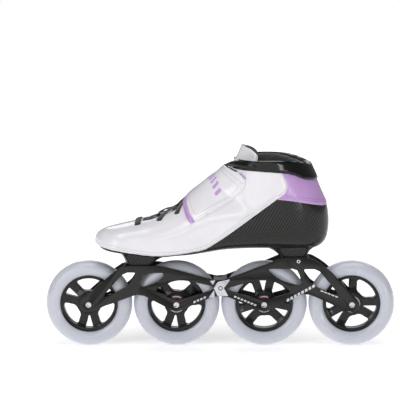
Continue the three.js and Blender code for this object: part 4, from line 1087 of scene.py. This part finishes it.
teeth = [rib([(u, 5.2), (u + 1.7, 5.2), (u + 1.5, 6.1)], 4.8) for u in np.arange(-44.5, -26.5, 2.2)]
grips = [rib([(u, 10.2), (u + 1.1, 10.2), (u + 0.9, 11.2), (u + 0.2, 11.2)], 6.2) for u in (14.5, 17, 19.5)]
for name, parts, joint in (("ladder_teeth", teeth, "ladder_slide"), ("lever_grips", grips, "lever_lift")):
    add_parts(name, parts, NYLON, "buckle_nylon", body=JOINTS[joint]["child"], sharp=30)

# ---- CAD nodes that stay -----------------------------------------------------------------------
# Start of the node's name, material, width of its bevels and material slot.
FINISHES = [
    ("frame", ANODISED, 0.6, "frame_aluminium"), ("front_mount", STEEL, 0.3, "steel"),
    ("rear_mount", STEEL, 0.3, "steel"), ("spacer", STEEL, 0.2, "steel"), ("buckle_rivet", STEEL, 0.25, "steel"),
    ("connector_rivet", STEEL, 0.25, "steel"), ("lever_pin", STEEL, 0.2, "steel"),
    ("release_pin", STEEL, 0.2, "steel"), ("buckle", NYLON, 0.5, "buckle_nylon"),
    ("ladder", NYLON, 0.3, "buckle_nylon"), ("strap_connector", NYLON, 0.5, "buckle_nylon")]
for name, node in frame["nodes"].items():
    if node.hide_render:
        continue
    _, finish, edge, slot_name = next(row for row in FINISHES if name.startswith(row[0]))
    node.data.materials.clear()
    node.data.materials.append(finish)
    node.data.polygons.foreach_set("use_smooth", np.ones(len(node.data.polygons), bool))
    # The CAD meshes hold split vertices, and an edge can only be bevelled once they are joined.
    node.modifiers.new("weld", "WELD").merge_threshold = 0.01 * MM
    flatten = node.modifiers.new("flatten", "DECIMATE")
    flatten.decimate_type, flatten.angle_limit = "DISSOLVE", math.radians(2)
    bevel = node.modifiers.new("bevel", "BEVEL")
    bevel.width, bevel.segments, bevel.angle_limit = edge * MM, 2, math.radians(35)
    bevel.harden_normals = True

# ---- Stage -------------------------------------------------------------------------------------
floor_shader = Shader("floor", Roughness=0.6)
floor_shader.feed("Base Color", floor_shader.blend(floor_shader.noise(floor_shader.place(), 2), srgb(246, 246, 247),
                                                   srgb(250, 250, 250)))
# The floor glows, faintly near the skate and more strongly further out: painted light that whitens the floor away
# from the skate.
floor_shader.bsdf.inputs["Emission Color"].default_value = (1, 1, 1, 1)
away = floor_shader.node("ShaderNodeVectorMath", {0: floor_shader.place()}, operation="LENGTH").outputs["Value"]
floor_shader.feed("Emission Strength", floor_shader.ramp(away, 0.3, 2.2, 0.42, 0.92))
FLOOR = 6.0
floor = bpy.data.objects.new("floor", bpy.data.meshes.new("floor"))
floor.data.from_pydata([(-FLOOR, -FLOOR, 0), (FLOOR, -FLOOR, 0), (FLOOR, FLOOR, 0), (-FLOOR, FLOOR, 0)], [],
                       [(0, 1, 2, 3)])
floor.data.materials.append(floor_shader.material)
bpy.context.scene.collection.objects.link(floor)
floor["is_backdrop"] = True


def soft_light(name, place, target, size, power):
    light = bpy.data.lights.new(name, "AREA")
    light.shape, light.size, light.size_y = "RECTANGLE", size[0], size[1]
    light.energy = power
    lamp = bpy.data.objects.new(name, light)
    lamp.location = place
    lamp.rotation_euler = (Vector(target) - Vector(place)).to_track_quat("-Z", "Y").to_euler()
    bpy.context.scene.collection.objects.link(lamp)


AIM = (0.0, 0.0, 0.13)
ELEVATION = math.radians(8.5)
soft_light("overhead", (0.1, -0.35, 1.9), AIM, (1.8, 1.4), 19)
soft_light("front_left", (-1.6, -2.0, 1.1), AIM, (1.1, 1.5), 15)
# This one stands where the inner side of the heel mirrors it towards the camera.
heel_side, heel_facing = skin_hit((100, -250, 170), (0, 1, 0))
to_camera = np.array((0, -math.cos(ELEVATION), math.sin(ELEVATION)))
mirrored = 2 * (heel_facing @ to_camera) * heel_facing - to_camera
soft_light("front_right", heel_side * MM + mirrored * 2.2, heel_side * MM, (0.65, 0.65), 13)
soft_light("low_strip", (-0.5, -2.3, 0.62), AIM, (1.9, 0.16), 4)
soft_light("back", (0.3, 2.2, 1.3), AIM, (2.2, 1.2), 12)

world = bpy.data.worlds.new("world")
world.use_nodes = True
background = world.node_tree.nodes["Background"]
background.inputs["Color"].default_value = (1, 1, 1, 1)
seen = world.node_tree.nodes.new("ShaderNodeLightPath").outputs["Is Camera Ray"]
strength = world.node_tree.nodes.new("ShaderNodeMapRange")
strength.inputs["To Min"].default_value = 0.22
strength.inputs["To Max"].default_value = 1.0
world.node_tree.links.new(seen, strength.inputs["Value"])
world.node_tree.links.new(strength.outputs["Result"], background.inputs["Strength"])
bpy.context.scene.world = world
bpy.context.scene.view_settings.view_transform = "Standard"

# The camera looks at the inner side from a little above; the lens is shifted to frame the skate.
DISTANCE = 2.5
FRAME_WIDTH = 0.5085
CAMERA_X, FRAME_X, FRAME_Z = 0.026, -0.0257, 0.1876
camera_data = bpy.data.cameras.new("camera")
camera_data.sensor_width = 36
camera_data.lens = 36 * DISTANCE / FRAME_WIDTH
camera_data.shift_x = (FRAME_X - CAMERA_X) / FRAME_WIDTH
camera = bpy.data.objects.new("camera", camera_data)
camera.location = (CAMERA_X, WHEEL_PLANE * MM - DISTANCE * math.cos(ELEVATION),
                   FRAME_Z + DISTANCE * math.sin(ELEVATION))
camera.rotation_euler = (math.pi / 2 - ELEVATION, 0, 0)
bpy.context.scene.collection.objects.link(camera)
bpy.context.scene.camera = camera

low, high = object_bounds()
